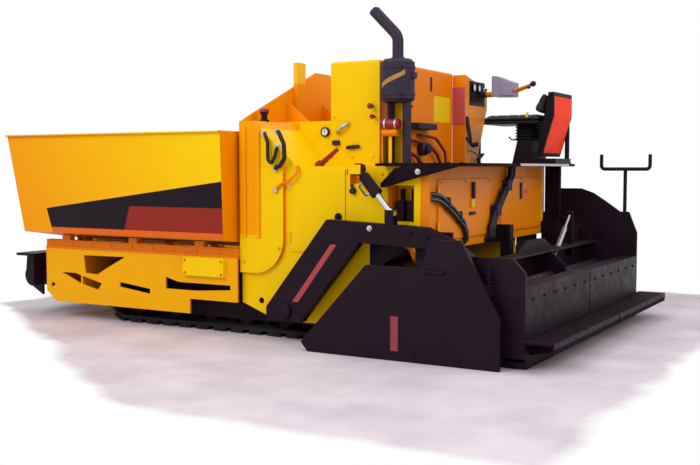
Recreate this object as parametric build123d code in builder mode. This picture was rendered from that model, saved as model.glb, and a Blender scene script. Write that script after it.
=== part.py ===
# Asphalt paver on tracks, with hopper, tractor and an extending screed.
# Millimetres. +X is forward, +Y is left, +Z is up, and the ground is at zero.
from build123d import *
import os
from math import cos, degrees, hypot, pi, radians, sin

os.makedirs("parts", exist_ok=True)

SIDES = (("left", 1), ("right", -1))

# Clearances
RUNNING_GAP = 0.3
OPEN_GAP = 12.0

# Overall reach
EXHAUST_TIP_Z = 2250.0

# Widths, each from the one inside it
FRAME_HALF_WIDTH = 600.0
FRAME_PLATE = 15.0
FRAME_INSIDE = FRAME_HALF_WIDTH - FRAME_PLATE
TRACK_INSIDE_GAP = 65.0
TRACK_OUTSIDE_GAP = 39.0
SKIRT_REACH = 60.0
ARM_GAP = 90.0
ARM_THICKNESS = 70.0

# Tracks
TRACK_WIDTH = 356.0
TRACK_CENTRE_Y = FRAME_HALF_WIDTH + TRACK_INSIDE_GAP + TRACK_WIDTH / 2
TRACK_HEIGHT = 500.0
SHOE_HEIGHT = 28.0
SHOE_LENGTH = 105.0
SHOE_COUNT = 34
BAND_THICKNESS = 22.0
GUIDE_WIDTH = 60.0
GUIDE_HEIGHT = 30.0
GUIDE_LENGTH = 50.0
IDLER_X = 1180.0
SPROCKET_X = -820.0
AXLE_Z = TRACK_HEIGHT / 2
BAND_OUTER = TRACK_HEIGHT / 2 - SHOE_HEIGHT
BAND_INNER = BAND_OUTER - BAND_THICKNESS

# Wheels inside the tracks
DISC_GAP = 35.0
DRIVE_DISC_WIDTH = 60.0
ROLLER_DISC_WIDTH = 40.0
SPROCKET_TEETH = 18
SPROCKET_ROOT = 180.0
HUB_RADIUS = 90.0
FINAL_DRIVE_RADIUS = 110.0
AXLE_RADIUS = 30.0
ROLLER_RADIUS = 70.0
ROLLER_AXLE_RADIUS = 18.0
ROLLER_XS = (-500.0, -175.0, 150.0, 475.0, 800.0)
CARRIER_RADIUS = 50.0
CARRIER_X = 180.0
CARRIER_AXLE_RADIUS = 15.0

# Track frames
BEAM_WIDTH = 150.0
BEAM_BOTTOM_Z = 205.0
BEAM_TOP_Z = 340.0
BEAM_REAR_X = -560.0
BEAM_FRONT_X = 940.0
ROLLER_PLATE = 12.0
CROSS_TUBE = 100.0
CROSS_TUBE_XS = (-350.0, 650.0)

# Main frame and conveyor tunnels
FRAME_FRONT_X = 1930.0
PUSH_REACH = 320.0
NOSE_X = FRAME_FRONT_X + PUSH_REACH
FRAME_BOTTOM_Z = 170.0
HOPPER_SILL_Z = 560.0
DASH_X = 80.0
REAR_X = -1350.0
PANEL = 12.0
DECK_BOTTOM_Z = 1170.0
TUNNEL_TOP_Z = 640.0
TUNNEL_REAR_X = -1288.0
PAN_Z = 200.0
TUNNEL_FLOOR_Z = 400.0
DIVIDER_HALF = 20.0
DIVIDER_TOP_Z = 430.0

# Slat conveyors
CHAIN_THICKNESS = 20.0
CHAIN_INNER_RADIUS = 60.0
CHAIN_OUTER_RADIUS = CHAIN_INNER_RADIUS + CHAIN_THICKNESS
CHAIN_Z = TUNNEL_FLOOR_Z - CHAIN_INNER_RADIUS
CHAIN_FRONT_X = 1830.0
CHAIN_REAR_X = -1200.0
CHAIN_INSET = 10.0
SLAT_INNER_Y = 50.0
SLAT_OUTER_Y = FRAME_INSIDE - 30.0
SLAT_LENGTH = 25.0
SLAT_COUNT = 25
FLOOR_FRONT_X = CHAIN_FRONT_X - 50.0
FLOOR_REAR_X = CHAIN_REAR_X + 50.0
CONVEYOR_SHAFT_RADIUS = 25.0

# Side frames beside the hopper
CABINET_HALF_WIDTH = TRACK_CENTRE_Y + TRACK_WIDTH / 2 + TRACK_OUTSIDE_GAP
SKIRT_OUTER_Y = CABINET_HALF_WIDTH + SKIRT_REACH
SKIRT_PLATE = 15.0
SILL_TUBE = 60.0
SILL_BOTTOM_Z = 545.0
SILL_TOP_Z = SILL_BOTTOM_Z + SILL_TUBE
BAND_INSET = 8.0
BAND_SEAT = 12.0
FENDER_Z = 530.0
BOX_REAR_X = 1545.0

# Hopper wings
HINGE_Y = FRAME_HALF_WIDTH + 15.0
HINGE_Z = 585.0
HINGE_PIN_RADIUS = 12.0
KNUCKLE_RADIUS = 24.0
BRACKET_XS = (165.0, 600.0, 1040.0, 1480.0, 1905.0)
BRACKET_LENGTH = 30.0
KNUCKLE_LENGTH = 70.0
WING_PLATE = 10.0
WING_REAR_X = 107.0
WING_INNER_Y = HINGE_Y + 30.0
WING_INNER_Z = 583.0
WING_KNEE_Y = SKIRT_OUTER_Y + 120.0
WING_KNEE_Z = 670.0
WING_TOP_Y = WING_KNEE_Y + 30.0
WING_TOP_Z = 1410.0
WING_LIP = 22.0
WING_FRONT_TOP_X = 2170.0
WING_FRONT_RAKE = 140.0
WING_FRONT_BOTTOM_X = WING_FRONT_TOP_X - WING_FRONT_RAKE
WING_REAR_TOP_Y = WING_TOP_Y - 320.0

# Hydraulic cylinders
PIN_RADIUS = 14.0
EYE_RADIUS = 38.0
EYE_BORE = 26.0
EYE_WIDTH = 50.0
EYE_NECK = 55.0
LIFT_EYE_RADIUS = 30.0
LIFT_EYE_BORE = 18.0
CYLINDER_WALL = 8.0
WING_CYLINDER_X = 1640.0
WING_BASE_Y = FRAME_HALF_WIDTH + 260.0
WING_BASE_Z = 222.0
WING_EYE_Y = WING_BASE_Y + 140.0
WING_EYE_Z = 575.0
WING_BARREL_LENGTH = 334.0
WING_BARREL_RADIUS = 36.0
WING_ROD_RADIUS = 18.0
ARM_INNER_Y = CABINET_HALF_WIDTH + ARM_GAP
ARM_OUTER_Y = ARM_INNER_Y + ARM_THICKNESS
LIFT_CYLINDER_Y = (ARM_INNER_Y + ARM_OUTER_Y) / 2
LIFT_BASE_X = -920.0
LIFT_BASE_Z = 1150.0
LIFT_EYE_X = -1150.0
LIFT_EYE_Z = 880.0
LIFT_BARREL_LENGTH = 205.0
LIFT_STROKE = 107.0

# Push beam and push rollers
PUSH_ROLLER_RADIUS = 85.0
PUSH_ROLLER_Z = 300.0
PUSH_ROLLER_X = NOSE_X - PUSH_ROLLER_RADIUS
PUSH_ROLLER_INNER_Y = 80.0
PUSH_ROLLER_OUTER_Y = SKIRT_OUTER_Y - 60.0
PUSH_PLATE = 20.0
PUSH_BEAM_DEPTH = 110.0
PUSH_BEAM_BOTTOM_Z = 240.0
PUSH_BEAM_TOP_Z = 470.0
BUMPER_HALF_WIDTH = SKIRT_OUTER_Y + 50.0
BUMPER_TOP_Z = 570.0

# Tractor body
CABINET_REAR_X = -1290.0
CABINET_TOP_Z = 1480.0
COWL_TOP_Z = 1490.0
COWL_REAR_X = -750.0
GABLE_EDGE_Y = CABINET_HALF_WIDTH - 110.0
GABLE_EDGE_Z = 1530.0
GABLE_FLAT_Y = 100.0
GABLE_TOP_Z = 1885.0
HOOD_FRONT_X = -360.0
HOOD_TOP_Z = 1900.0
HOOD_WALL = 10.0
HOOD_HINGE_X = -346.0
HOOD_HINGE_Z = COWL_TOP_Z + 14.0
HOOD_PIN_RADIUS = 6.0
HOOD_KNUCKLE_RADIUS = 12.0
HOOD_HINGE_YS = (150.0 - FRAME_HALF_WIDTH, FRAME_HALF_WIDTH - 150.0)
HOOD_KNUCKLE_HALF = 40.0
HOOD_EAR_Y = 48.0
EAR_RIM = 2.0

# Muffler and exhaust
MUFFLER_X = -890.0
MUFFLER_Y = FRAME_HALF_WIDTH
MUFFLER_RADIUS = 115.0
MUFFLER_BOTTOM_Z = 1600.0
MUFFLER_TOP_Z = 1890.0
EXHAUST_RADIUS = 38.0
EXHAUST_BEND = 90.0
EXHAUST_TIP_X = -705.0
INLET_X = -960.0
INLET_RADIUS = 30.0

# Operator station
DECK_TOP_Z = 1190.0
DECK_REAR_X = -1600.0
DECK_FRONT_X = COWL_REAR_X - 10.0
RAIL_RADIUS = 18.0
RAIL_Y = RAIL_RADIUS - CABINET_HALF_WIDTH
RAIL_POST_X = -790.0
SEAT_Y = 260.0 - CABINET_HALF_WIDTH
SEAT_HALF_WIDTH = 215.0
SEAT_PIVOT_X = -1330.0
SEAT_STEM_RADIUS = 40.0
SEAT_RAIL_LENGTH = 190.0
SEAT_RAIL_HALF_WIDTH = 120.0
SHELL_WAIST_X = -1450.0
SHELL_WAIST_Z = 1245.0
SHELL_FOOT_X = -1498.0
SHELL_TOP_X = -1540.0
SHELL_TOP_Z = 1725.0
SHELL_SHOULDER_Z = 1550.0
SHELL_THICKNESS = 42.0
CUSHION_FRONT_X = -1010.0
BACK_FOOT = 115.0
BACK_TOP = 60.0
BACK_TOP_Z = 1710.0
PEDESTAL_TOP_Z = 1370.0
PEDESTAL_FOOT_Z = 1230.0
PEDESTAL_X_ENDS = (-1590.0, -1244.0)
PEDESTAL_NECK_X_ENDS = (-1390.0, -1285.0)
PEDESTAL_HALF_WIDTH = 180.0
CUSHION_BOTTOM_Z = 1505.0
CUSHION_TOP_Z = 1565.0

# Augers
AUGER_X = -1450.0
AUGER_Z = 330.0
AUGER_RADIUS = 150.0
AUGER_SHAFT_RADIUS = 35.0
AUGER_ROOT_RADIUS = 31.0
AUGER_PITCH = 300.0
AUGER_FLIGHT = 10.0
AUGER_STEPS = 8
AUGER_INNER_Y = 35.0
AUGER_OUTER_Y = CABINET_HALF_WIDTH - 70.0
FLIGHT_INSET = 20.0

# Screed
TOW_PIN_X = -380.0
TOW_PIN_Z = 220.0
TOW_PIN_RADIUS = 25.0
SCREED_FRONT_X = -1640.0
SCREED_REAR_X = -1880.0
SCREED_PLATE_HALF = ARM_OUTER_Y - 1.0
SCREED_PLATE_Z = 40.0
SCREED_FLOOR_Z = 60.0
SLIDE_ROD_RADIUS = 35.0
SLIDE_ROD_X = -1780.0
SLIDE_ROD_ZS = (230.0, 420.0)
SLIDE_ROD_INNER_Y = 20.0
GUIDE_PLATE_Y = ARM_INNER_Y - 110.0
GUIDE_PLATE = 20.0
EXTENSION_FRONT_X = SCREED_REAR_X - 10.0
EXTENSION_REAR_X = -2050.0
WALKWAY_LENGTH = 200.0
TAIL_X = EXTENSION_REAR_X - WALKWAY_LENGTH
EXTENSION_INNER_Y = 8.0
EXTENSION_END_Y = ARM_OUTER_Y + 10.0
EXTENSION_END_PLATE = 20.0
EXTENSION_TOP_Z = 470.0
WALKWAY_TOP_Z = 180.0
WALKWAY_RIB_INSET = 100.0
GATE_INNER_Y = EXTENSION_END_Y + EXTENSION_END_PLATE + 90.0
GATE_OUTER_Y = GATE_INNER_Y + 30.0


def block(x_ends, y_ends, z_ends, mode=Mode.ADD):
    """A box between two ends along each axis."""
    spans = [sorted(ends) for ends in (x_ends, y_ends, z_ends)]
    middle = [(low + high) / 2 for low, high in spans]
    size = [high - low for low, high in spans]
    with Locations(tuple(middle)):
        Box(*size, mode=mode)


def plate_xz(points, y_ends, mode=Mode.ADD):
    """A plate whose outline is seen from the side."""
    low, high = sorted(y_ends)
    with BuildSketch(Plane.XZ.offset(-high)) as outline:
        with BuildLine():
            Polyline(*points, close=True)
        make_face()
    extrude(outline.sketch, amount=high - low, mode=mode)


def plate_yz(points, x_ends, mode=Mode.ADD):
    """A plate whose outline is seen from the front."""
    low, high = sorted(x_ends)
    with BuildSketch(Plane.YZ.offset(low)) as outline:
        with BuildLine():
            Polyline(*points, close=True)
        make_face()
    extrude(outline.sketch, amount=high - low, mode=mode)


def bar(start, end, radius, mode=Mode.ADD):
    """A round bar, or a round hole, between two points."""
    run = Vector(*end) - Vector(*start)
    with BuildSketch(Plane(origin=start, z_dir=run)) as section:
        Circle(radius)
    extrude(section.sketch, amount=run.length, mode=mode)


def bent_bar(points, bend, radius):
    """A round bar along straight runs with rounded corners."""
    with BuildLine() as path:
        FilletPolyline(*points, radius=bend)
    with BuildSketch(Plane(origin=path.line @ 0, z_dir=path.line % 0)) as section:
        Circle(radius)
    sweep(section.sketch, path=path.line)


def loop_place(share, rear_x, front_x, centre_z, radius):
    """Where a share of the way round a belt loop lies, and how far it has turned."""
    straight = front_x - rear_x
    bend = pi * radius
    travel = share * 2 * (straight + bend)
    if travel < straight:
        return rear_x + travel, centre_z + radius, 0.0
    travel -= straight
    if travel < bend:
        turn = travel / radius
        return front_x + radius * sin(turn), centre_z + radius * cos(turn), -degrees(turn)
    travel -= bend
    if travel < straight:
        return front_x - travel, centre_z - radius, 180.0
    turn = (travel - straight) / radius
    return rear_x - radius * sin(turn), centre_z - radius * cos(turn), 180.0 - degrees(turn)


def loop_places(count, rear_x, front_x, centre_z, radius):
    """Evenly spaced places round a belt loop, as locations in a side view."""
    places = []
    for number in range(count):
        x, z, turn = loop_place((number + 0.5) / count, rear_x, front_x, centre_z, radius)
        places.append(Location((x, z, 0), (0, 0, turn)))
    return places


def loop_ring(rear_x, front_x, centre_z, outer_radius, inner_radius):
    """The side view of a belt that runs round two wheels."""
    with Locations(((rear_x + front_x) / 2, centre_z)):
        SlotCenterToCenter(front_x - rear_x, 2 * outer_radius)
        SlotCenterToCenter(front_x - rear_x, 2 * inner_radius, mode=Mode.SUBTRACT)


def save(part, name):
    """Name a finished piece and write its file."""
    part.label = name
    export_step(part, "parts/" + name + ".step")


# Tracks, each one loop with its shoes and guide lugs
def build_track(sign):
    """A track loop on one side."""
    centre_y = sign * TRACK_CENTRE_Y
    sink = BAND_THICKNESS / 2
    with BuildPart() as track:
        with BuildSketch(Plane.XZ.offset(-centre_y)):
            loop_ring(SPROCKET_X, IDLER_X, AXLE_Z, BAND_OUTER, BAND_INNER)
            with Locations(*loop_places(SHOE_COUNT, SPROCKET_X, IDLER_X, AXLE_Z, BAND_OUTER - sink)):
                Rectangle(SHOE_LENGTH, SHOE_HEIGHT + sink, align=(Align.CENTER, Align.MIN))
            with Locations(((SPROCKET_X + IDLER_X) / 2, AXLE_Z)):
                SlotCenterToCenter(IDLER_X - SPROCKET_X, TRACK_HEIGHT, mode=Mode.INTERSECT)
        extrude(amount=TRACK_WIDTH / 2, both=True)
        with BuildSketch(Plane.XZ.offset(-centre_y)):
            with Locations(*loop_places(SHOE_COUNT, SPROCKET_X, IDLER_X, AXLE_Z, BAND_INNER + sink)):
                Rectangle(GUIDE_LENGTH, GUIDE_HEIGHT + sink, align=(Align.CENTER, Align.MAX))
        extrude(amount=GUIDE_WIDTH / 2, both=True)
    return track


for side, sign in SIDES:
    save(build_track(sign).part, "track_" + side)


# Wheels that carry the tracks
def lug_wheel(x, z, radius, disc_width, hub_radius):
    """Two discs on a hub, one each side of the guide lugs."""
    disc_outer = DISC_GAP + disc_width
    bar((x, TRACK_CENTRE_Y - disc_outer, z), (x, TRACK_CENTRE_Y + disc_outer, z), hub_radius)
    for inner, outer in ((-disc_outer, -DISC_GAP), (DISC_GAP, disc_outer)):
        bar((x, TRACK_CENTRE_Y + inner, z), (x, TRACK_CENTRE_Y + outer, z), radius)


with BuildPart() as drive_sprockets:
    disc_outer = DISC_GAP + DRIVE_DISC_WIDTH
    for inner in (-disc_outer, DISC_GAP):
        with BuildSketch(Plane.XZ.offset(-(TRACK_CENTRE_Y + inner + DRIVE_DISC_WIDTH))):
            with Locations((SPROCKET_X, AXLE_Z)):
                Circle(SPROCKET_ROOT)
                with PolarLocations(SPROCKET_ROOT, SPROCKET_TEETH):
                    Rectangle(2 * (BAND_INNER - SPROCKET_ROOT), GUIDE_HEIGHT)
                Circle(BAND_INNER - RUNNING_GAP, mode=Mode.INTERSECT)
        extrude(amount=DRIVE_DISC_WIDTH)
    bar((SPROCKET_X, FRAME_HALF_WIDTH, AXLE_Z),
        (SPROCKET_X, TRACK_CENTRE_Y - disc_outer, AXLE_Z), FINAL_DRIVE_RADIUS)
    bar((SPROCKET_X, TRACK_CENTRE_Y - disc_outer, AXLE_Z),
        (SPROCKET_X, TRACK_CENTRE_Y + disc_outer, AXLE_Z), HUB_RADIUS)
    mirror(about=Plane.XZ)
save(drive_sprockets.part, "drive_sprockets")

fork_inner = DISC_GAP + DRIVE_DISC_WIDTH + OPEN_GAP
fork_outer = fork_inner + FRAME_PLATE
with BuildPart() as idler_wheels:
    lug_wheel(IDLER_X, AXLE_Z, BAND_INNER - RUNNING_GAP, DRIVE_DISC_WIDTH, HUB_RADIUS)
    bar((IDLER_X, TRACK_CENTRE_Y - fork_outer, AXLE_Z),
        (IDLER_X, TRACK_CENTRE_Y + fork_outer, AXLE_Z), AXLE_RADIUS)
    mirror(about=Plane.XZ)
save(idler_wheels.part, "idler_wheels")

roller_z = AXLE_Z - BAND_INNER + ROLLER_RADIUS + RUNNING_GAP
carrier_z = AXLE_Z + BAND_INNER - CARRIER_RADIUS - RUNNING_GAP
plate_inner = DISC_GAP + ROLLER_DISC_WIDTH + RUNNING_GAP
plate_outer = plate_inner + ROLLER_PLATE
with BuildPart() as track_rollers:
    for x in ROLLER_XS:
        lug_wheel(x, roller_z, ROLLER_RADIUS, ROLLER_DISC_WIDTH, ROLLER_AXLE_RADIUS)
        bar((x, TRACK_CENTRE_Y - plate_outer, roller_z),
            (x, TRACK_CENTRE_Y + plate_outer, roller_z), ROLLER_AXLE_RADIUS)
    lug_wheel(CARRIER_X, carrier_z, CARRIER_RADIUS, ROLLER_DISC_WIDTH, CARRIER_AXLE_RADIUS)
    bar((CARRIER_X, TRACK_CENTRE_Y - plate_outer, carrier_z),
        (CARRIER_X, TRACK_CENTRE_Y + plate_outer, carrier_z), CARRIER_AXLE_RADIUS)
    mirror(about=Plane.XZ)
save(track_rollers.part, "track_rollers")

beam_inner_y = TRACK_CENTRE_Y - BEAM_WIDTH / 2
beam_outer_y = TRACK_CENTRE_Y + BEAM_WIDTH / 2
with BuildPart() as track_frames:
    block((BEAM_REAR_X, BEAM_FRONT_X), (beam_inner_y, beam_outer_y), (BEAM_BOTTOM_Z, BEAM_TOP_Z))
    block((BEAM_FRONT_X - CROSS_TUBE / 2, BEAM_FRONT_X),
          (TRACK_CENTRE_Y - fork_outer, TRACK_CENTRE_Y + fork_outer), (BEAM_BOTTOM_Z, BEAM_TOP_Z))
    for reach in (-fork_outer, fork_inner):
        fork_y = TRACK_CENTRE_Y + reach
        plate_xz(((BEAM_FRONT_X - CROSS_TUBE / 2, BEAM_BOTTOM_Z), (IDLER_X + CROSS_TUBE / 2, BEAM_BOTTOM_Z),
                  (IDLER_X + CROSS_TUBE / 2, AXLE_Z + CROSS_TUBE / 2),
                  (BEAM_FRONT_X, BEAM_TOP_Z), (BEAM_FRONT_X - CROSS_TUBE / 2, BEAM_TOP_Z)),
                 (fork_y, fork_y + FRAME_PLATE))
    for reach in (-plate_outer, plate_inner):
        side_y = TRACK_CENTRE_Y + reach
        block((ROLLER_XS[0] - ROLLER_RADIUS, ROLLER_XS[-1] + ROLLER_RADIUS),
              (side_y, side_y + ROLLER_PLATE), (roller_z - 2 * ROLLER_AXLE_RADIUS, BEAM_BOTTOM_Z))
        block((CARRIER_X - ROLLER_RADIUS, CARRIER_X + ROLLER_RADIUS), (side_y, side_y + ROLLER_PLATE),
              (BEAM_TOP_Z, carrier_z + 2 * CARRIER_AXLE_RADIUS))
    for x in CROSS_TUBE_XS:
        block((x - CROSS_TUBE / 2, x + CROSS_TUBE / 2), (FRAME_HALF_WIDTH, beam_inner_y),
              (AXLE_Z - CROSS_TUBE / 3, AXLE_Z + CROSS_TUBE * 2 / 3))
    bores = [(x, roller_z, ROLLER_AXLE_RADIUS) for x in ROLLER_XS]
    bores.append((CARRIER_X, carrier_z, CARRIER_AXLE_RADIUS))
    bores.append((IDLER_X, AXLE_Z, AXLE_RADIUS))
    for x, z, radius in bores:
        bar((x, TRACK_CENTRE_Y - fork_outer, z), (x, TRACK_CENTRE_Y + fork_outer, z),
            radius + RUNNING_GAP, mode=Mode.SUBTRACT)
    mirror(about=Plane.XZ)
save(track_frames.part, "track_frames")

# Main frame with the tunnels' roof, the belly pan and the wing hinge pins
bulkhead_front_x = REAR_X + PANEL
frame_corner = 60.0
with BuildPart() as main_frame:
    plate_xz(((FRAME_FRONT_X, HOPPER_SILL_Z), (FRAME_FRONT_X, FRAME_BOTTOM_Z + frame_corner),
              (FRAME_FRONT_X - frame_corner, FRAME_BOTTOM_Z), (TUNNEL_REAR_X, FRAME_BOTTOM_Z),
              (TUNNEL_REAR_X, TUNNEL_TOP_Z), (bulkhead_front_x, TUNNEL_TOP_Z),
              (bulkhead_front_x, DECK_BOTTOM_Z), (DASH_X, DECK_BOTTOM_Z), (DASH_X, HOPPER_SILL_Z)),
             (FRAME_INSIDE, FRAME_HALF_WIDTH))
    for x in BRACKET_XS:
        block((x - BRACKET_LENGTH / 2, x + BRACKET_LENGTH / 2), (FRAME_HALF_WIDTH, HINGE_Y + PIN_RADIUS),
              (SILL_BOTTOM_Z, HINGE_Z + PIN_RADIUS))
    bar((BRACKET_XS[0], HINGE_Y, HINGE_Z), (BRACKET_XS[-1], HINGE_Y, HINGE_Z), HINGE_PIN_RADIUS)
    mirror(about=Plane.XZ)
    block((FLOOR_REAR_X, FLOOR_FRONT_X), (-FRAME_INSIDE, FRAME_INSIDE), (PAN_Z, PAN_Z + PANEL))
    block((TUNNEL_REAR_X, DASH_X), (-FRAME_INSIDE, FRAME_INSIDE),
          (TUNNEL_TOP_Z - FRAME_PLATE, TUNNEL_TOP_Z))
    block((FRAME_FRONT_X - PANEL, FRAME_FRONT_X), (-FRAME_INSIDE, FRAME_INSIDE),
          (FRAME_BOTTOM_Z + frame_corner, TUNNEL_FLOOR_Z))
save(main_frame.part, "main_frame")

# Hopper floor with the wall between the two conveyors
with BuildPart() as hopper_floor:
    block((FLOOR_REAR_X, FLOOR_FRONT_X), (-FRAME_INSIDE, FRAME_INSIDE),
          (TUNNEL_FLOOR_Z - PANEL, TUNNEL_FLOOR_Z))
    block((FLOOR_REAR_X, FLOOR_FRONT_X), (-DIVIDER_HALF, DIVIDER_HALF), (TUNNEL_FLOOR_Z, DIVIDER_TOP_Z))
    block((FLOOR_REAR_X, DASH_X), (-FRAME_PLATE, FRAME_PLATE),
          (DIVIDER_TOP_Z, TUNNEL_TOP_Z - FRAME_PLATE))
save(hopper_floor.part, "hopper_floor")

# Slat conveyors on four chains
with BuildPart() as conveyor_chains:
    chain_ends = (SLAT_INNER_Y + CHAIN_INSET, SLAT_OUTER_Y - CHAIN_INSET - CHAIN_THICKNESS)
    for inner in chain_ends:
        with BuildSketch(Plane.XZ.offset(-(inner + CHAIN_THICKNESS))):
            loop_ring(CHAIN_REAR_X, CHAIN_FRONT_X, CHAIN_Z, CHAIN_OUTER_RADIUS, CHAIN_INNER_RADIUS)
        extrude(amount=CHAIN_THICKNESS)
        for x in (CHAIN_REAR_X, CHAIN_FRONT_X):
            bar((x, inner, CHAIN_Z), (x, inner + CHAIN_THICKNESS, CHAIN_Z),
                CHAIN_INNER_RADIUS + CHAIN_THICKNESS / 4)
    with BuildSketch(Plane.XZ.offset(-SLAT_OUTER_Y)):
        with Locations(*loop_places(SLAT_COUNT, CHAIN_REAR_X, CHAIN_FRONT_X, CHAIN_Z,
                                    CHAIN_INNER_RADIUS)):
            Rectangle(SLAT_LENGTH, CHAIN_THICKNESS, align=(Align.CENTER, Align.MIN))
    extrude(amount=SLAT_OUTER_Y - SLAT_INNER_Y)
    mirror(about=Plane.XZ)
    for x in (CHAIN_REAR_X, CHAIN_FRONT_X):
        bar((x, -FRAME_INSIDE, CHAIN_Z), (x, FRAME_INSIDE, CHAIN_Z), CONVEYOR_SHAFT_RADIUS)
save(conveyor_chains.part, "conveyor_chains")

# Apron that closes the hopper's front
with BuildPart() as front_apron:
    plate_xz(((FRAME_FRONT_X, TUNNEL_FLOOR_Z + PANEL), (FRAME_FRONT_X + PANEL, TUNNEL_FLOOR_Z + PANEL),
              (FRAME_FRONT_X + 8 * PANEL, SILL_TOP_Z + 2 * PANEL),
              (FRAME_FRONT_X + 7 * PANEL, SILL_TOP_Z + 2 * PANEL),
              (FRAME_FRONT_X, TUNNEL_FLOOR_Z + 3 * PANEL)),
             (-FRAME_INSIDE, FRAME_INSIDE))
    for y in (-FRAME_INSIDE, FRAME_INSIDE - PANEL):
        block((FRAME_FRONT_X - CROSS_TUBE, FRAME_FRONT_X), (y, y + PANEL),
              (TUNNEL_FLOOR_Z + 3 * PANEL, HOPPER_SILL_Z))
        plate_xz(((FRAME_FRONT_X, TUNNEL_FLOOR_Z + 3 * PANEL), (FRAME_FRONT_X + 6 * PANEL, HOPPER_SILL_Z),
                  (FRAME_FRONT_X, HOPPER_SILL_Z)), (y, y + PANEL))
save(front_apron.part, "front_apron")


# Underside of a lowered wing's floor at a distance from the middle
def wing_underside(y):
    """Height of the lowered wing floor's underside."""
    share = (y - WING_INNER_Y) / (WING_KNEE_Y - WING_INNER_Y)
    return WING_INNER_Z + share * (WING_KNEE_Z - WING_INNER_Z)


# Side frames over and outside the tracks
SKIRT_BOTTOM_Z = 125.0
SKIRT_STEP_X = 500.0
SKIRT_STEP_Z = 230.0
SKIRT_TOP_Z = SILL_BOTTOM_Z + BAND_SEAT
SKIRT_OUTLINE = ((FRAME_FRONT_X, SKIRT_TOP_Z), (FRAME_FRONT_X, SKIRT_BOTTOM_Z + 80.0),
                 (FRAME_FRONT_X - 100.0, SKIRT_BOTTOM_Z), (SKIRT_STEP_X, SKIRT_BOTTOM_Z),
                 (SKIRT_STEP_X, SKIRT_STEP_Z), (DASH_X, SKIRT_STEP_Z), (DASH_X, SKIRT_TOP_Z))
TOOL_WINDOW = ((1530.0, 495.0), (1110.0, 500.0), (1320.0, 395.0), (1390.0, 355.0), (1510.0, 360.0))
FRONT_SLOT = ((1765.0, 355.0), (1620.0, 355.0), (1346.0, 290.0), (1388.0, 238.0), (1575.0, 280.0))
MIDDLE_SLOT = ((1165.0, 312.0), (870.0, 278.0), (870.0, 240.0), (1165.0, 275.0))
REAR_SLOT = ((720.0, 375.0), (720.0, 290.0), (450.0, 290.0), (140.0, 312.0), (140.0, 345.0), (600.0, 345.0))
SKIRT_WINDOWS = (TOOL_WINDOW, FRONT_SLOT, MIDDLE_SLOT, REAR_SLOT)
COVER_X_ENDS = (180.0, 540.0)
COVER_Z_ENDS = (400.0, 530.0)
COVER_DEPTH = 28.0
TIE_DOWN_X = 1860.0
REAR_TIE_DOWN_X = -80.0
TIE_DOWN_Z = 250.0
TIE_DOWN_RADIUS = 22.0
PAD_XS = (420.0, 1040.0, 1720.0)
PAD_LENGTH = 80.0
pin_half = EYE_WIDTH / 2 + RUNNING_GAP + PANEL
with BuildPart() as side_frames:
    skirt_inner = SKIRT_OUTER_Y - SKIRT_PLATE
    plate_xz(SKIRT_OUTLINE, (skirt_inner, SKIRT_OUTER_Y))
    for window in SKIRT_WINDOWS:
        plate_xz(window, (skirt_inner, SKIRT_OUTER_Y), mode=Mode.SUBTRACT)
    bar((TIE_DOWN_X, skirt_inner, TIE_DOWN_Z), (TIE_DOWN_X, SKIRT_OUTER_Y, TIE_DOWN_Z), TIE_DOWN_RADIUS,
        mode=Mode.SUBTRACT)
    block(COVER_X_ENDS, (SKIRT_OUTER_Y, SKIRT_OUTER_Y + COVER_DEPTH), COVER_Z_ENDS)
    block((DASH_X, FRAME_FRONT_X), (SKIRT_OUTER_Y - SILL_TUBE, SKIRT_OUTER_Y - BAND_INSET),
          (SILL_BOTTOM_Z, SILL_TOP_Z))
    block((DASH_X, BOX_REAR_X), (FRAME_HALF_WIDTH, SKIRT_OUTER_Y), (FENDER_Z, FENDER_Z + PANEL))
    block((BOX_REAR_X, BOX_REAR_X + FRAME_PLATE), (FRAME_HALF_WIDTH, SKIRT_OUTER_Y),
          (FRAME_BOTTOM_Z, SILL_BOTTOM_Z))
    block((FRAME_FRONT_X - FRAME_PLATE, FRAME_FRONT_X), (FRAME_HALF_WIDTH, SKIRT_OUTER_Y),
          (FRAME_BOTTOM_Z + frame_corner, SILL_BOTTOM_Z))
    block((BOX_REAR_X, FRAME_FRONT_X - frame_corner), (FRAME_HALF_WIDTH, SKIRT_OUTER_Y - SKIRT_PLATE),
          (FRAME_BOTTOM_Z, FRAME_BOTTOM_Z + PANEL))
    for reach in (-pin_half, pin_half - PANEL):
        block((WING_CYLINDER_X + reach, WING_CYLINDER_X + reach + PANEL),
              (WING_BASE_Y - EYE_RADIUS, WING_BASE_Y + EYE_RADIUS),
              (FRAME_BOTTOM_Z, WING_BASE_Z + EYE_RADIUS))
    for x in PAD_XS:
        pad_inner = SKIRT_OUTER_Y - SILL_TUBE
        block((x - PAD_LENGTH / 2, x + PAD_LENGTH / 2), (pad_inner, SKIRT_OUTER_Y - BAND_INSET),
              (SILL_TOP_Z, wing_underside(pad_inner) - RUNNING_GAP))
    mirror(about=Plane.XZ)
save(side_frames.part, "side_frames")


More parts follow.
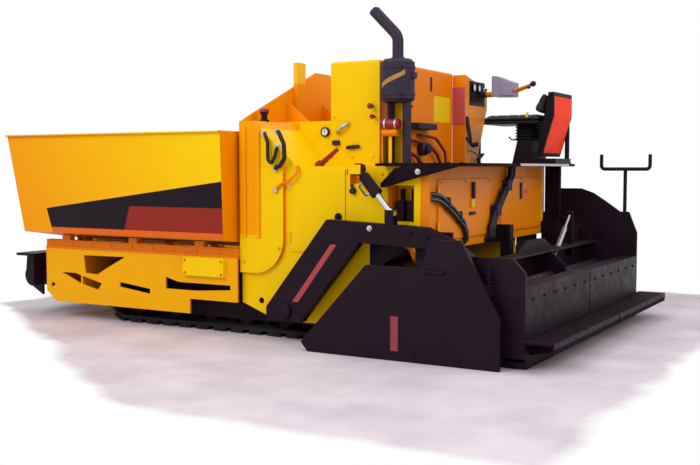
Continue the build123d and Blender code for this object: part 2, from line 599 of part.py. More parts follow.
# Hopper wings, hinged along the sills
def build_wing(sign):
    """A hopper wing: sloped floor, tall side with a lip, and rear plate."""
    plate = WING_PLATE
    section = ((WING_INNER_Y, WING_INNER_Z), (WING_KNEE_Y, WING_KNEE_Z), (WING_TOP_Y, WING_TOP_Z - plate),
               (WING_TOP_Y + WING_LIP, WING_TOP_Z - plate), (WING_TOP_Y + WING_LIP, WING_TOP_Z),
               (WING_TOP_Y - plate, WING_TOP_Z), (WING_KNEE_Y - plate, WING_KNEE_Z + plate),
               (WING_INNER_Y, WING_INNER_Z + plate))
    rear = ((WING_INNER_Y, WING_INNER_Z), (WING_KNEE_Y, WING_KNEE_Z), (WING_TOP_Y, WING_TOP_Z),
            (WING_REAR_TOP_Y, WING_TOP_Z), (WING_INNER_Y, WING_INNER_Z + 5 * plate))
    with BuildPart() as wing:
        plate_yz([(sign * y, z) for y, z in section], (WING_REAR_X, WING_FRONT_TOP_X))
        plate_yz([(sign * y, z) for y, z in rear], (WING_REAR_X, WING_REAR_X + plate))
        plate_xz(((WING_FRONT_BOTTOM_X, WING_INNER_Z - plate), (WING_FRONT_BOTTOM_X, WING_KNEE_Z),
                  (WING_FRONT_TOP_X, WING_TOP_Z), (WING_FRONT_TOP_X + plate, WING_TOP_Z),
                  (WING_FRONT_TOP_X + plate, WING_INNER_Z - plate)),
                 (0, sign * (WING_TOP_Y + 2 * WING_LIP)), mode=Mode.SUBTRACT)
        for x in BRACKET_XS[:-1]:
            start = x + BRACKET_LENGTH / 2 + plate
            bar((start, sign * HINGE_Y, HINGE_Z), (start + KNUCKLE_LENGTH, sign * HINGE_Y, HINGE_Z),
                KNUCKLE_RADIUS)
            block((start, start + KNUCKLE_LENGTH), (sign * (HINGE_Y + PIN_RADIUS), sign * WING_INNER_Y),
                  (WING_INNER_Z, WING_INNER_Z + plate))
            bar((start, sign * HINGE_Y, HINGE_Z), (start + KNUCKLE_LENGTH, sign * HINGE_Y, HINGE_Z),
                HINGE_PIN_RADIUS + RUNNING_GAP, mode=Mode.SUBTRACT)
        for reach in (-pin_half, pin_half - PANEL):
            lug_x = WING_CYLINDER_X + reach
            plate_yz([(sign * y, z) for y, z in (
                (WING_EYE_Y - EYE_RADIUS, WING_EYE_Z - PIN_RADIUS),
                (WING_EYE_Y, WING_EYE_Z - 2 * PIN_RADIUS),
                (WING_EYE_Y + EYE_RADIUS, WING_EYE_Z - PIN_RADIUS),
                (WING_EYE_Y + EYE_RADIUS, wing_underside(WING_EYE_Y + EYE_RADIUS)),
                (WING_EYE_Y - EYE_RADIUS, wing_underside(WING_EYE_Y - EYE_RADIUS)))],
                     (lug_x, lug_x + PANEL))
        bar((WING_CYLINDER_X - pin_half, sign * WING_EYE_Y, WING_EYE_Z),
            (WING_CYLINDER_X + pin_half, sign * WING_EYE_Y, WING_EYE_Z), PIN_RADIUS)
    return wing


for side, sign in SIDES:
    save(build_wing(sign).part, "hopper_wing_" + side)


# Hydraulic cylinders, drawn along a plane whose x runs from base to eye
def build_barrel(plane, length, radius, rod_radius, pin_bore):
    """A cylinder's barrel with its base eye and an open bore."""
    bore = radius - CYLINDER_WALL
    gland = length - 3 * CYLINDER_WALL
    floor = EYE_NECK + CYLINDER_WALL
    with BuildPart() as barrel:
        with BuildSketch(plane):
            with BuildLine():
                Polyline((PIN_RADIUS, 0), (PIN_RADIUS, EYE_WIDTH / 2), (EYE_NECK, EYE_WIDTH / 2),
                         (EYE_NECK, radius), (length, radius), (length, rod_radius + RUNNING_GAP),
                         (gland, rod_radius + RUNNING_GAP), (gland, bore), (floor, bore), (floor, 0),
                         close=True)
            make_face()
        revolve(axis=Axis(plane.origin, plane.x_dir))
        with BuildSketch(plane):
            Circle(EYE_RADIUS)
        extrude(amount=EYE_WIDTH / 2, both=True)
        with BuildSketch(plane):
            Circle(pin_bore)
        extrude(amount=EYE_WIDTH, both=True, mode=Mode.SUBTRACT)
    return barrel


def build_rod(plane, start, length, rod_radius, eye_radius, eye_bore):
    """A piston rod with its eye."""
    with BuildPart() as rod:
        with BuildSketch(plane):
            with Locations(((start + length) / 2, rod_radius / 2)):
                Rectangle(length - start, rod_radius)
        revolve(axis=Axis(plane.origin, plane.x_dir))
        with BuildSketch(plane):
            with Locations((length, 0)):
                Circle(eye_radius)
        extrude(amount=EYE_WIDTH / 2, both=True)
        with BuildSketch(plane):
            with Locations((length, 0)):
                Circle(eye_bore)
        extrude(amount=EYE_WIDTH, both=True, mode=Mode.SUBTRACT)
    return rod


def cylinder_plane(base, eye, pin_direction):
    """The plane of a cylinder's swing, with x from its base to its eye."""
    return Plane(origin=base, x_dir=Vector(*eye) - Vector(*base), z_dir=pin_direction)


wing_length = hypot(WING_EYE_Y - WING_BASE_Y, WING_EYE_Z - WING_BASE_Z)
lift_length = hypot(LIFT_EYE_X - LIFT_BASE_X, LIFT_EYE_Z - LIFT_BASE_Z)
rod_start = EYE_NECK + 2 * CYLINDER_WALL
for side, sign in SIDES:
    wing_plane = cylinder_plane((WING_CYLINDER_X, sign * WING_BASE_Y, WING_BASE_Z),
                                (WING_CYLINDER_X, sign * WING_EYE_Y, WING_EYE_Z), (1, 0, 0))
    save(build_barrel(wing_plane, WING_BARREL_LENGTH, WING_BARREL_RADIUS, WING_ROD_RADIUS,
                      PIN_RADIUS + RUNNING_GAP).part, "wing_cylinder_" + side)
    save(build_rod(wing_plane, rod_start, wing_length, WING_ROD_RADIUS, EYE_RADIUS, EYE_BORE).part,
         "wing_rod_" + side)
    lift_plane = cylinder_plane((LIFT_BASE_X, sign * LIFT_CYLINDER_Y, LIFT_BASE_Z),
                                (LIFT_EYE_X, sign * LIFT_CYLINDER_Y, LIFT_EYE_Z), (0, 1, 0))
    save(build_barrel(lift_plane, LIFT_BARREL_LENGTH, WING_BARREL_RADIUS, WING_ROD_RADIUS,
                      PIN_RADIUS + RUNNING_GAP).part, "lift_cylinder_" + side)
    save(build_rod(lift_plane, rod_start + LIFT_STROKE, lift_length, WING_ROD_RADIUS,
                   LIFT_EYE_RADIUS, LIFT_EYE_BORE).part, "lift_rod_" + side)

# Push beam across the front, with the rollers' brackets
beam_front_x = FRAME_FRONT_X + PUSH_BEAM_DEPTH
with BuildPart() as push_beam:
    beam_half = PUSH_ROLLER_OUTER_Y + PUSH_PLATE
    block((FRAME_FRONT_X, beam_front_x), (-beam_half, beam_half),
          (PUSH_BEAM_BOTTOM_Z, PUSH_BEAM_BOTTOM_Z + PUSH_BEAM_DEPTH))
    block((beam_front_x - PUSH_PLATE, beam_front_x), (-BUMPER_HALF_WIDTH, BUMPER_HALF_WIDTH),
          (PUSH_BEAM_BOTTOM_Z, BUMPER_TOP_Z - 4 * PUSH_PLATE))
    block((beam_front_x - PUSH_PLATE, NOSE_X - 2 * PUSH_PLATE), (-BUMPER_HALF_WIDTH, BUMPER_HALF_WIDTH),
          (PUSH_BEAM_TOP_Z, PUSH_BEAM_TOP_Z + PUSH_PLATE))
    bracket_ends = ((-PUSH_ROLLER_INNER_Y + RUNNING_GAP, PUSH_ROLLER_INNER_Y - RUNNING_GAP),
                    (PUSH_ROLLER_OUTER_Y + RUNNING_GAP, beam_half),
                    (-beam_half, -PUSH_ROLLER_OUTER_Y - RUNNING_GAP))
    for ends in bracket_ends:
        plate_xz(((beam_front_x - PUSH_PLATE, PUSH_BEAM_TOP_Z), (NOSE_X - 3 * PUSH_PLATE, PUSH_BEAM_TOP_Z),
                  (NOSE_X - 2 * PUSH_PLATE, PUSH_ROLLER_Z), (NOSE_X - 4 * PUSH_PLATE, PUSH_BEAM_BOTTOM_Z),
                  (beam_front_x - PUSH_PLATE, PUSH_BEAM_BOTTOM_Z - 4 * PUSH_PLATE)), ends)
save(push_beam.part, "push_beam")

for side, sign in SIDES:
    with BuildPart() as push_roller:
        bar((PUSH_ROLLER_X, sign * PUSH_ROLLER_INNER_Y, PUSH_ROLLER_Z),
            (PUSH_ROLLER_X, sign * PUSH_ROLLER_OUTER_Y, PUSH_ROLLER_Z), PUSH_ROLLER_RADIUS)
        chamfer(push_roller.edges().filter_by(GeomType.CIRCLE), PUSH_PLATE / 2)
    save(push_roller.part, "push_roller_" + side)

# Side cabinets with the skirts that carry the tow pins
CABINET_SHOULDER_X = -40.0
CABINET_SLOPE_X = -370.0
CABINET_HEEL_X = -1000.0
CABINET_HEEL_Z = 700.0
SKIRT_FOOT_X_ENDS = (-560.0, -200.0)
CABINET_OUTLINE = ((DASH_X, FENDER_Z), (DASH_X, CABINET_TOP_Z), (CABINET_SHOULDER_X, CABINET_TOP_Z),
                   (CABINET_SLOPE_X, DECK_BOTTOM_Z), (CABINET_REAR_X, DECK_BOTTOM_Z),
                   (CABINET_REAR_X, CABINET_HEEL_Z), (CABINET_HEEL_X, FENDER_Z))
CABINET_SKIRT = ((DASH_X, FENDER_Z), (DASH_X, SKIRT_STEP_Z), (SKIRT_FOOT_X_ENDS[1], SKIRT_BOTTOM_Z),
                 (SKIRT_FOOT_X_ENDS[0], SKIRT_BOTTOM_Z), (CABINET_HEEL_X, FENDER_Z))
CABINET_SLOPE = (CABINET_TOP_Z - DECK_BOTTOM_Z) / (CABINET_SHOULDER_X - CABINET_SLOPE_X)
DOOR_X_ENDS = (-750.0, -330.0)
DOOR_Z_ENDS = (600.0, 1150.0)
BAY_X_ENDS = (-1245.0, -1060.0)
BAY_Z_ENDS = (820.0, 1050.0)
BAY_DEPTH = 150.0
CHEEK_REAR_X = -280.0
CHEEK_BOTTOM_Z = 440.0
CHEEK_DEPTH = 28.0
CHEEK_CORNER = 240.0
CHEEK_SHOULDER_Z = CABINET_TOP_Z - (CABINET_SHOULDER_X - CHEEK_REAR_X) * CABINET_SLOPE
RIB_XS = (-95.0, 20.0)
RIB_WIDTH = 40.0
RIB_Z_ENDS = (690.0, 1440.0)
TOW_BOSS_RADIUS = 55.0
for side, sign in SIDES:
    outer = sign * CABINET_HALF_WIDTH
    with BuildPart() as cabinet:
        plate_xz(CABINET_OUTLINE, (sign * FRAME_HALF_WIDTH, outer))
        plate_xz(CABINET_SKIRT, (outer - sign * FRAME_PLATE, outer))
        block(BAY_X_ENDS, (outer, outer - sign * BAY_DEPTH), BAY_Z_ENDS, mode=Mode.SUBTRACT)
        block(DOOR_X_ENDS, (outer, outer + sign * PANEL / 2), DOOR_Z_ENDS)
        with BuildSketch(Plane.XZ.offset(-outer)):
            with BuildLine():
                Line((DASH_X, CHEEK_BOTTOM_Z), (DASH_X, CABINET_TOP_Z))
                Line((DASH_X, CABINET_TOP_Z), (CABINET_SHOULDER_X, CABINET_TOP_Z))
                Line((CABINET_SHOULDER_X, CABINET_TOP_Z), (CHEEK_REAR_X, CHEEK_SHOULDER_Z))
                Line((CHEEK_REAR_X, CHEEK_SHOULDER_Z), (CHEEK_REAR_X, CHEEK_BOTTOM_Z + CHEEK_CORNER))
                RadiusArc((CHEEK_REAR_X, CHEEK_BOTTOM_Z + CHEEK_CORNER),
                          (CHEEK_REAR_X + CHEEK_CORNER, CHEEK_BOTTOM_Z), -CHEEK_CORNER)
                Line((CHEEK_REAR_X + CHEEK_CORNER, CHEEK_BOTTOM_Z), (DASH_X, CHEEK_BOTTOM_Z))
            make_face()
        extrude(amount=-sign * CHEEK_DEPTH)
        for x in RIB_XS:
            block((x, x + RIB_WIDTH), (outer + sign * CHEEK_DEPTH, outer + sign * (CHEEK_DEPTH + PANEL)),
                  RIB_Z_ENDS)
        bar((REAR_TIE_DOWN_X, outer - sign * FRAME_PLATE, TIE_DOWN_Z), (REAR_TIE_DOWN_X, outer, TIE_DOWN_Z),
            TIE_DOWN_RADIUS, mode=Mode.SUBTRACT)
        bar((TOW_PIN_X, outer - sign * FRAME_PLATE, TOW_PIN_Z),
            (TOW_PIN_X, sign * (ARM_INNER_Y - RUNNING_GAP), TOW_PIN_Z), TOW_BOSS_RADIUS)
        bar((TOW_PIN_X, sign * (ARM_INNER_Y - PANEL), TOW_PIN_Z),
            (TOW_PIN_X, sign * (ARM_OUTER_Y + PANEL), TOW_PIN_Z), TOW_PIN_RADIUS)
        cheek_half = EYE_WIDTH / 2 + RUNNING_GAP
        lift_outer = LIFT_CYLINDER_Y + cheek_half + PANEL
        lift_inner = LIFT_CYLINDER_Y - cheek_half - PANEL
        web_x = LIFT_BASE_X + EYE_RADIUS + PANEL / 2
        for cheek in (lift_inner, lift_outer - PANEL):
            block((LIFT_BASE_X - LIFT_EYE_RADIUS, web_x), (sign * cheek, sign * (cheek + PANEL)),
                  (LIFT_BASE_Z - LIFT_EYE_RADIUS, LIFT_BASE_Z + LIFT_EYE_RADIUS))
        block((web_x, web_x + PANEL), (outer, sign * lift_outer),
              (LIFT_BASE_Z - 3 * LIFT_EYE_RADIUS, LIFT_BASE_Z + LIFT_EYE_RADIUS))
        bar((LIFT_BASE_X, sign * lift_inner, LIFT_BASE_Z), (LIFT_BASE_X, sign * lift_outer, LIFT_BASE_Z),
            PIN_RADIUS)
    save(cabinet.part, "side_cabinet_" + side)

# Gabled wall behind the hopper
GUSSET_Y = 500.0
LAMP_POST_YS = (300.0, 410.0)
with BuildPart() as hopper_bulkhead:
    half_outline = ((FRAME_HALF_WIDTH, SILL_TOP_Z), (CABINET_HALF_WIDTH, SILL_TOP_Z),
                    (CABINET_HALF_WIDTH, CABINET_TOP_Z), (GABLE_EDGE_Y, GABLE_EDGE_Z),
                    (GABLE_FLAT_Y, GABLE_TOP_Z))
    other_half = [(-y, z) for y, z in reversed(half_outline)]
    tunnel = ((-FRAME_HALF_WIDTH, TUNNEL_TOP_Z - FRAME_PLATE), (FRAME_HALF_WIDTH, TUNNEL_TOP_Z - FRAME_PLATE))
    plate_yz((*half_outline, *other_half, *tunnel), (DASH_X, DASH_X + PANEL))
    for y in (-GUSSET_Y, -PANEL / 2, GUSSET_Y - PANEL):
        plate_xz(((DASH_X, COWL_TOP_Z), (-PANEL * 10, COWL_TOP_Z), (DASH_X, GABLE_EDGE_Z + 10 * PANEL)),
                 (y, y + PANEL))
    block((DASH_X - 3 * PANEL, DASH_X), LAMP_POST_YS, (COWL_TOP_Z, HOOD_TOP_Z + 3 * PANEL))
save(hopper_bulkhead.part, "hopper_bulkhead")

# Engine cowl and the hood that tilts forward on it
with BuildPart() as engine_cowl:
    block((COWL_REAR_X, DASH_X), (-FRAME_HALF_WIDTH, FRAME_HALF_WIDTH), (DECK_BOTTOM_Z, COWL_TOP_Z))
    block((COWL_REAR_X + PANEL, DASH_X - PANEL), (-FRAME_INSIDE, FRAME_INSIDE),
          (DECK_BOTTOM_Z, COWL_TOP_Z - PANEL), mode=Mode.SUBTRACT)
    block((COWL_REAR_X + 2 * PANEL, HOOD_FRONT_X - PANEL), (-FRAME_INSIDE + PANEL, FRAME_INSIDE - PANEL),
          (COWL_TOP_Z - PANEL, COWL_TOP_Z), mode=Mode.SUBTRACT)
    for y in HOOD_HINGE_YS:
        for reach in (-HOOD_EAR_Y - PANEL, HOOD_EAR_Y):
            block((HOOD_HINGE_X - HOOD_PIN_RADIUS, HOOD_HINGE_X + PIN_RADIUS), (y + reach, y + reach + PANEL),
                  (COWL_TOP_Z, HOOD_HINGE_Z + HOOD_PIN_RADIUS + EAR_RIM))
        bar((HOOD_HINGE_X, y - HOOD_EAR_Y, HOOD_HINGE_Z), (HOOD_HINGE_X, y + HOOD_EAR_Y, HOOD_HINGE_Z),
            HOOD_PIN_RADIUS)
save(engine_cowl.part, "engine_cowl")

with BuildPart() as engine_hood:
    block((COWL_REAR_X, HOOD_FRONT_X), (-FRAME_HALF_WIDTH, FRAME_HALF_WIDTH),
          (COWL_TOP_Z + RUNNING_GAP, HOOD_TOP_Z))
    fillet(engine_hood.edges().group_by(Axis.Z)[-1], 2 * HOOD_WALL)
    block((COWL_REAR_X + HOOD_WALL, HOOD_FRONT_X - HOOD_WALL),
          (-FRAME_HALF_WIDTH + HOOD_WALL, FRAME_HALF_WIDTH - HOOD_WALL),
          (COWL_TOP_Z, HOOD_TOP_Z - HOOD_WALL), mode=Mode.SUBTRACT)
    for y in HOOD_HINGE_YS:
        knuckle_ends = (y - HOOD_KNUCKLE_HALF, y + HOOD_KNUCKLE_HALF)
        bar((HOOD_HINGE_X, knuckle_ends[0], HOOD_HINGE_Z), (HOOD_HINGE_X, knuckle_ends[1], HOOD_HINGE_Z),
            HOOD_KNUCKLE_RADIUS)
        block((HOOD_FRONT_X - HOOD_WALL / 2, HOOD_HINGE_X), knuckle_ends,
              (HOOD_HINGE_Z - HOOD_PIN_RADIUS, HOOD_HINGE_Z + HOOD_KNUCKLE_RADIUS))
        bar((HOOD_HINGE_X, knuckle_ends[0], HOOD_HINGE_Z), (HOOD_HINGE_X, knuckle_ends[1], HOOD_HINGE_Z),
            HOOD_PIN_RADIUS + RUNNING_GAP, mode=Mode.SUBTRACT)
save(engine_hood.part, "engine_hood")

# Engine, one plain mass on the tunnels' roof, and the radiator ahead of it
ENGINE_X_ENDS = (-700.0, -100.0)
ENGINE_HALF_WIDTH = 280.0
ENGINE_TOP_Z = 1400.0
RADIATOR_X_ENDS = (-60.0, 20.0)
RADIATOR_HALF_WIDTH = 450.0
with BuildPart() as engine_block:
    block(ENGINE_X_ENDS, (-ENGINE_HALF_WIDTH, ENGINE_HALF_WIDTH), (TUNNEL_TOP_Z, ENGINE_TOP_Z))
save(engine_block.part, "engine_block")

with BuildPart() as radiator:
    block(RADIATOR_X_ENDS, (-RADIATOR_HALF_WIDTH, RADIATOR_HALF_WIDTH), (TUNNEL_TOP_Z, ENGINE_TOP_Z))
save(radiator.part, "radiator")

# Muffler on its stand, with the pipe from the engine
with BuildPart() as muffler:
    dome = MUFFLER_RADIUS / 5
    with BuildSketch(Plane.XZ.offset(-MUFFLER_Y)):
        with BuildLine():
            Polyline((MUFFLER_X, MUFFLER_BOTTOM_Z), (MUFFLER_X + MUFFLER_RADIUS - dome, MUFFLER_BOTTOM_Z),
                     (MUFFLER_X + MUFFLER_RADIUS, MUFFLER_BOTTOM_Z + dome),
                     (MUFFLER_X + MUFFLER_RADIUS, MUFFLER_TOP_Z - dome),
                     (MUFFLER_X + MUFFLER_RADIUS - dome, MUFFLER_TOP_Z), (MUFFLER_X, MUFFLER_TOP_Z),
                     close=True)
        make_face()
    revolve(axis=Axis((MUFFLER_X, MUFFLER_Y, 0), (0, 0, 1)))
    bar((INLET_X, MUFFLER_Y, DECK_TOP_Z), (INLET_X, MUFFLER_Y, MUFFLER_BOTTOM_Z + dome), INLET_RADIUS)
    block((MUFFLER_X + 2 * dome, MUFFLER_X + 2 * dome + PANEL), (MUFFLER_Y - 2 * dome, MUFFLER_Y + 2 * dome),
          (DECK_TOP_Z, MUFFLER_BOTTOM_Z + dome))
save(muffler.part, "muffler")

with BuildPart() as exhaust_pipe:
    knee_z = EXHAUST_TIP_Z - (EXHAUST_TIP_X - MUFFLER_X) - EXHAUST_RADIUS / 2
    bent_bar(((MUFFLER_X, MUFFLER_Y, MUFFLER_TOP_Z), (MUFFLER_X, MUFFLER_Y, knee_z),
              (EXHAUST_TIP_X, MUFFLER_Y, EXHAUST_TIP_Z - EXHAUST_RADIUS / 2)), EXHAUST_BEND, EXHAUST_RADIUS)
    muffler_ys = (MUFFLER_Y - MUFFLER_RADIUS, MUFFLER_Y + MUFFLER_RADIUS)
    block((MUFFLER_X, EXHAUST_TIP_X + MUFFLER_RADIUS), muffler_ys,
          (EXHAUST_TIP_Z, EXHAUST_TIP_Z + MUFFLER_RADIUS), mode=Mode.SUBTRACT)
save(exhaust_pipe.part, "exhaust_pipe")

# Operator deck
NOTCH_X = -1040.0
NOTCH_Y = MUFFLER_Y + 80.0
STEP_OUTLINE = ((NOTCH_X, 1036.0), (NOTCH_X, 1062.0), (-1136.0, 1155.0), (-1210.0, DECK_BOTTOM_Z),
                (-1560.0, DECK_BOTTOM_Z), (-1280.0, 1100.0))
STEP_YS = (CABINET_HALF_WIDTH, CABINET_HALF_WIDTH + 60.0)
REAR_POST_X_ENDS = (-1490.0, -1370.0)
REAR_POST_WIDTH = 40.0
REAR_POST_YS = (-CABINET_HALF_WIDTH, REAR_POST_WIDTH - CABINET_HALF_WIDTH)
with BuildPart() as operator_deck:
    block((DECK_REAR_X, DECK_FRONT_X), (-CABINET_HALF_WIDTH, CABINET_HALF_WIDTH), (DECK_BOTTOM_Z, DECK_TOP_Z))
    block((NOTCH_X, DECK_FRONT_X), (NOTCH_Y, CABINET_HALF_WIDTH), (DECK_BOTTOM_Z, DECK_TOP_Z),
          mode=Mode.SUBTRACT)
    block((STEP_OUTLINE[4][0], NOTCH_X), STEP_YS, (DECK_BOTTOM_Z, DECK_TOP_Z))
    plate_xz(STEP_OUTLINE, STEP_YS)
    block(REAR_POST_X_ENDS, REAR_POST_YS, (TUNNEL_TOP_Z, DECK_BOTTOM_Z))
save(operator_deck.part, "operator_deck")

REAR_DOOR_INSET = 110.0
REAR_DOOR_OUTER_Y = CABINET_HALF_WIDTH - REAR_DOOR_INSET
REAR_DOOR_YS = ((-REAR_DOOR_OUTER_Y, -REAR_DOOR_INSET), (REAR_DOOR_INSET, REAR_DOOR_OUTER_Y))
REAR_DOOR_Z_ENDS = (TUNNEL_TOP_Z + 5 * PANEL, DECK_BOTTOM_Z - 7 * PANEL)
with BuildPart() as rear_bulkhead:
    block((REAR_X, REAR_X + PANEL), (-CABINET_HALF_WIDTH, CABINET_HALF_WIDTH), (TUNNEL_TOP_Z, DECK_BOTTOM_Z))
    for y in (-CABINET_HALF_WIDTH, CABINET_HALF_WIDTH - PANEL):
        block((REAR_X + PANEL, CABINET_REAR_X), (y, y + PANEL), (TUNNEL_TOP_Z + 5 * PANEL, DECK_BOTTOM_Z))
    for door_ends in REAR_DOOR_YS:
        block((REAR_X - PANEL, REAR_X), door_ends, REAR_DOOR_Z_ENDS)
save(rear_bulkhead.part, "rear_bulkhead")

# Control console on its post, and the guard rail beside the seat
DASH_DEPTH = 100.0
DASH_INSET = 20.0
DASH_SPREAD = 210.0
DASH_REAR_X = DECK_FRONT_X - DASH_DEPTH
DASH_OUTER_Y = DASH_INSET - CABINET_HALF_WIDTH
DASH_FOOT_Y = DASH_OUTER_Y + DASH_SPREAD
DASH_SIDE_Z_ENDS = (1640.0, 1795.0)
DASH_TOP_Z = 1885.0
HEAD_X_ENDS = (-1155.0, -990.0)
HEAD_WIDTH = 160.0
HEAD_INNER_Y = SEAT_Y - 20.0
HEAD_Y_ENDS = (HEAD_INNER_Y - HEAD_WIDTH, HEAD_INNER_Y)
HEAD_Z_ENDS = (1725.0, 1830.0)
HEAD_LIP_Z = 1885.0
HEAD_ARM_RADIUS = 22.0
with BuildPart() as console:
    plate_yz(((-FRAME_HALF_WIDTH, DECK_TOP_Z), (-FRAME_HALF_WIDTH, DASH_TOP_Z),
              (DASH_OUTER_Y, DASH_SIDE_Z_ENDS[1]), (DASH_OUTER_Y, DASH_SIDE_Z_ENDS[0]),
              (DASH_FOOT_Y, DECK_TOP_Z)), (DASH_REAR_X, DECK_FRONT_X))
    plate_xz(((HEAD_X_ENDS[0], HEAD_Z_ENDS[0]), (HEAD_X_ENDS[1], HEAD_Z_ENDS[0]),
              (HEAD_X_ENDS[1], HEAD_LIP_Z), (HEAD_X_ENDS[1] - 3 * PANEL, HEAD_LIP_Z),
              (HEAD_X_ENDS[0], HEAD_Z_ENDS[1])), HEAD_Y_ENDS)
    head_y = (HEAD_Y_ENDS[0] + HEAD_Y_ENDS[1]) / 2
    head_z = HEAD_Z_ENDS[0] + HEAD_ARM_RADIUS
    bar((DASH_REAR_X, head_y, head_z), (HEAD_X_ENDS[1], head_y, head_z), HEAD_ARM_RADIUS)
save(console.part, "console")

with BuildPart() as guard_rails:
    rail_top_z = DECK_TOP_Z + 360.0
    bent_bar(((RAIL_POST_X, RAIL_Y, DECK_TOP_Z), (RAIL_POST_X, RAIL_Y, rail_top_z),
              (DECK_REAR_X + 60.0, RAIL_Y, rail_top_z),
              (DECK_REAR_X + 60.0, RAIL_Y, DECK_TOP_Z)), 4 * RAIL_RADIUS, RAIL_RADIUS)
save(guard_rails.part, "guard_rails")

# Valve blocks in the left cabinet's open bay
VALVE_COUNT = 2
VALVE_GAP = 24.0
VALVE_LENGTH = 55.0
VALVE_WIDTH = 90.0
VALVE_HEIGHT = 130.0
SPOOL_RADIUS = 16.0
with BuildPart() as valve_bank:
    bay_back_y = CABINET_HALF_WIDTH - BAY_DEPTH
    for number in range(VALVE_COUNT):
        x = BAY_X_ENDS[0] + VALVE_GAP + number * (VALVE_LENGTH + VALVE_GAP)
        block((x, x + VALVE_LENGTH), (bay_back_y, bay_back_y + VALVE_WIDTH),
              (BAY_Z_ENDS[0], BAY_Z_ENDS[0] + VALVE_HEIGHT))
        bar((x + VALVE_LENGTH / 2, bay_back_y + VALVE_WIDTH / 2, BAY_Z_ENDS[0] + VALVE_HEIGHT),
            (x + VALVE_LENGTH / 2, bay_back_y + VALVE_WIDTH / 2, BAY_Z_ENDS[1] - VALVE_GAP), SPOOL_RADIUS)
save(valve_bank.part, "valve_bank")

# Seat on its pedestal
with BuildPart() as seat_pedestal:
    plate_xz(((PEDESTAL_X_ENDS[1], DECK_TOP_Z), (PEDESTAL_NECK_X_ENDS[1], PEDESTAL_TOP_Z),
              (PEDESTAL_NECK_X_ENDS[0], PEDESTAL_TOP_Z), (PEDESTAL_NECK_X_ENDS[0], PEDESTAL_FOOT_Z),
              (PEDESTAL_X_ENDS[0], PEDESTAL_FOOT_Z), (PEDESTAL_X_ENDS[0], DECK_TOP_Z)),
             (SEAT_Y - PEDESTAL_HALF_WIDTH, SEAT_Y + PEDESTAL_HALF_WIDTH))
save(seat_pedestal.part, "seat_pedestal")


def shell_face(z):
    """The X of the seat shell's front face at a height."""
    rise = (z - CUSHION_BOTTOM_Z) / (SHELL_TOP_Z - CUSHION_BOTTOM_Z)
    return SHELL_FOOT_X + (SHELL_TOP_X - SHELL_FOOT_X) * rise


SEAT_YS = (SEAT_Y - SEAT_HALF_WIDTH, SEAT_Y + SEAT_HALF_WIDTH)

with BuildPart() as seat_frame:
    block((SEAT_PIVOT_X - SEAT_RAIL_LENGTH / 2, SEAT_PIVOT_X + SEAT_RAIL_LENGTH / 2),
          (SEAT_Y - SEAT_RAIL_HALF_WIDTH, SEAT_Y + SEAT_RAIL_HALF_WIDTH),
          (PEDESTAL_TOP_Z + RUNNING_GAP, PEDESTAL_TOP_Z + PANEL))
    bar((SEAT_PIVOT_X, SEAT_Y, PEDESTAL_TOP_Z + PANEL / 2),
        (SEAT_PIVOT_X, SEAT_Y, CUSHION_BOTTOM_Z - PANEL), SEAT_STEM_RADIUS)
    block((SHELL_FOOT_X, CUSHION_FRONT_X - PANEL), SEAT_YS, (CUSHION_BOTTOM_Z - PANEL, CUSHION_BOTTOM_Z))
    shell_back_x = SHELL_TOP_X - SHELL_THICKNESS
    plate_xz(((SHELL_WAIST_X, SHELL_WAIST_Z), (SHELL_FOOT_X, CUSHION_BOTTOM_Z), (SHELL_TOP_X, SHELL_TOP_Z),
              (shell_back_x, SHELL_TOP_Z), (shell_back_x, SHELL_SHOULDER_Z),
              (SHELL_WAIST_X - SHELL_THICKNESS, SHELL_WAIST_Z)), SEAT_YS)
save(seat_frame.part, "seat_frame")

with BuildPart() as seat_cushions:
    block((SHELL_FOOT_X + PANEL, CUSHION_FRONT_X), SEAT_YS, (CUSHION_BOTTOM_Z + RUNNING_GAP, CUSHION_TOP_Z))
    back_foot_z = CUSHION_TOP_Z + PANEL
    foot_x = shell_face(back_foot_z)
    top_x = shell_face(BACK_TOP_Z)
    plate_xz(((foot_x + BACK_FOOT, back_foot_z), (foot_x + RUNNING_GAP, back_foot_z),
              (top_x + RUNNING_GAP, BACK_TOP_Z), (top_x + BACK_TOP, BACK_TOP_Z)), SEAT_YS)
save(seat_cushions.part, "seat_cushions")


# Augers that spread the mix ahead of the screed
def build_auger(sign):
    """A shaft with one helical flight, the two sides of opposite hand."""
    start_y = AUGER_INNER_Y + FLIGHT_INSET
    end_y = AUGER_OUTER_Y - FLIGHT_INSET
    count = int((end_y - start_y) / AUGER_PITCH * AUGER_STEPS)
    with BuildPart() as auger:
        for number in range(count + 1):
            angle = 2 * pi * number / AUGER_STEPS
            along = start_y + AUGER_PITCH * number / AUGER_STEPS
            outward = (cos(angle), 0, sin(angle))
            with BuildSketch(Plane(origin=(AUGER_X, sign * along, AUGER_Z), x_dir=outward,
                                   z_dir=(-sin(angle), 0, cos(angle)))):
                with Locations(((AUGER_ROOT_RADIUS + AUGER_RADIUS) / 2, 0)):
                    Rectangle(AUGER_RADIUS - AUGER_ROOT_RADIUS, AUGER_FLIGHT)
        loft(ruled=True)
        bar((AUGER_X, sign * (AUGER_INNER_Y + RUNNING_GAP), AUGER_Z),
            (AUGER_X, sign * (AUGER_OUTER_Y - RUNNING_GAP), AUGER_Z), AUGER_SHAFT_RADIUS)
    return auger


for side, sign in SIDES:
    save(build_auger(sign).part, "auger_" + side)

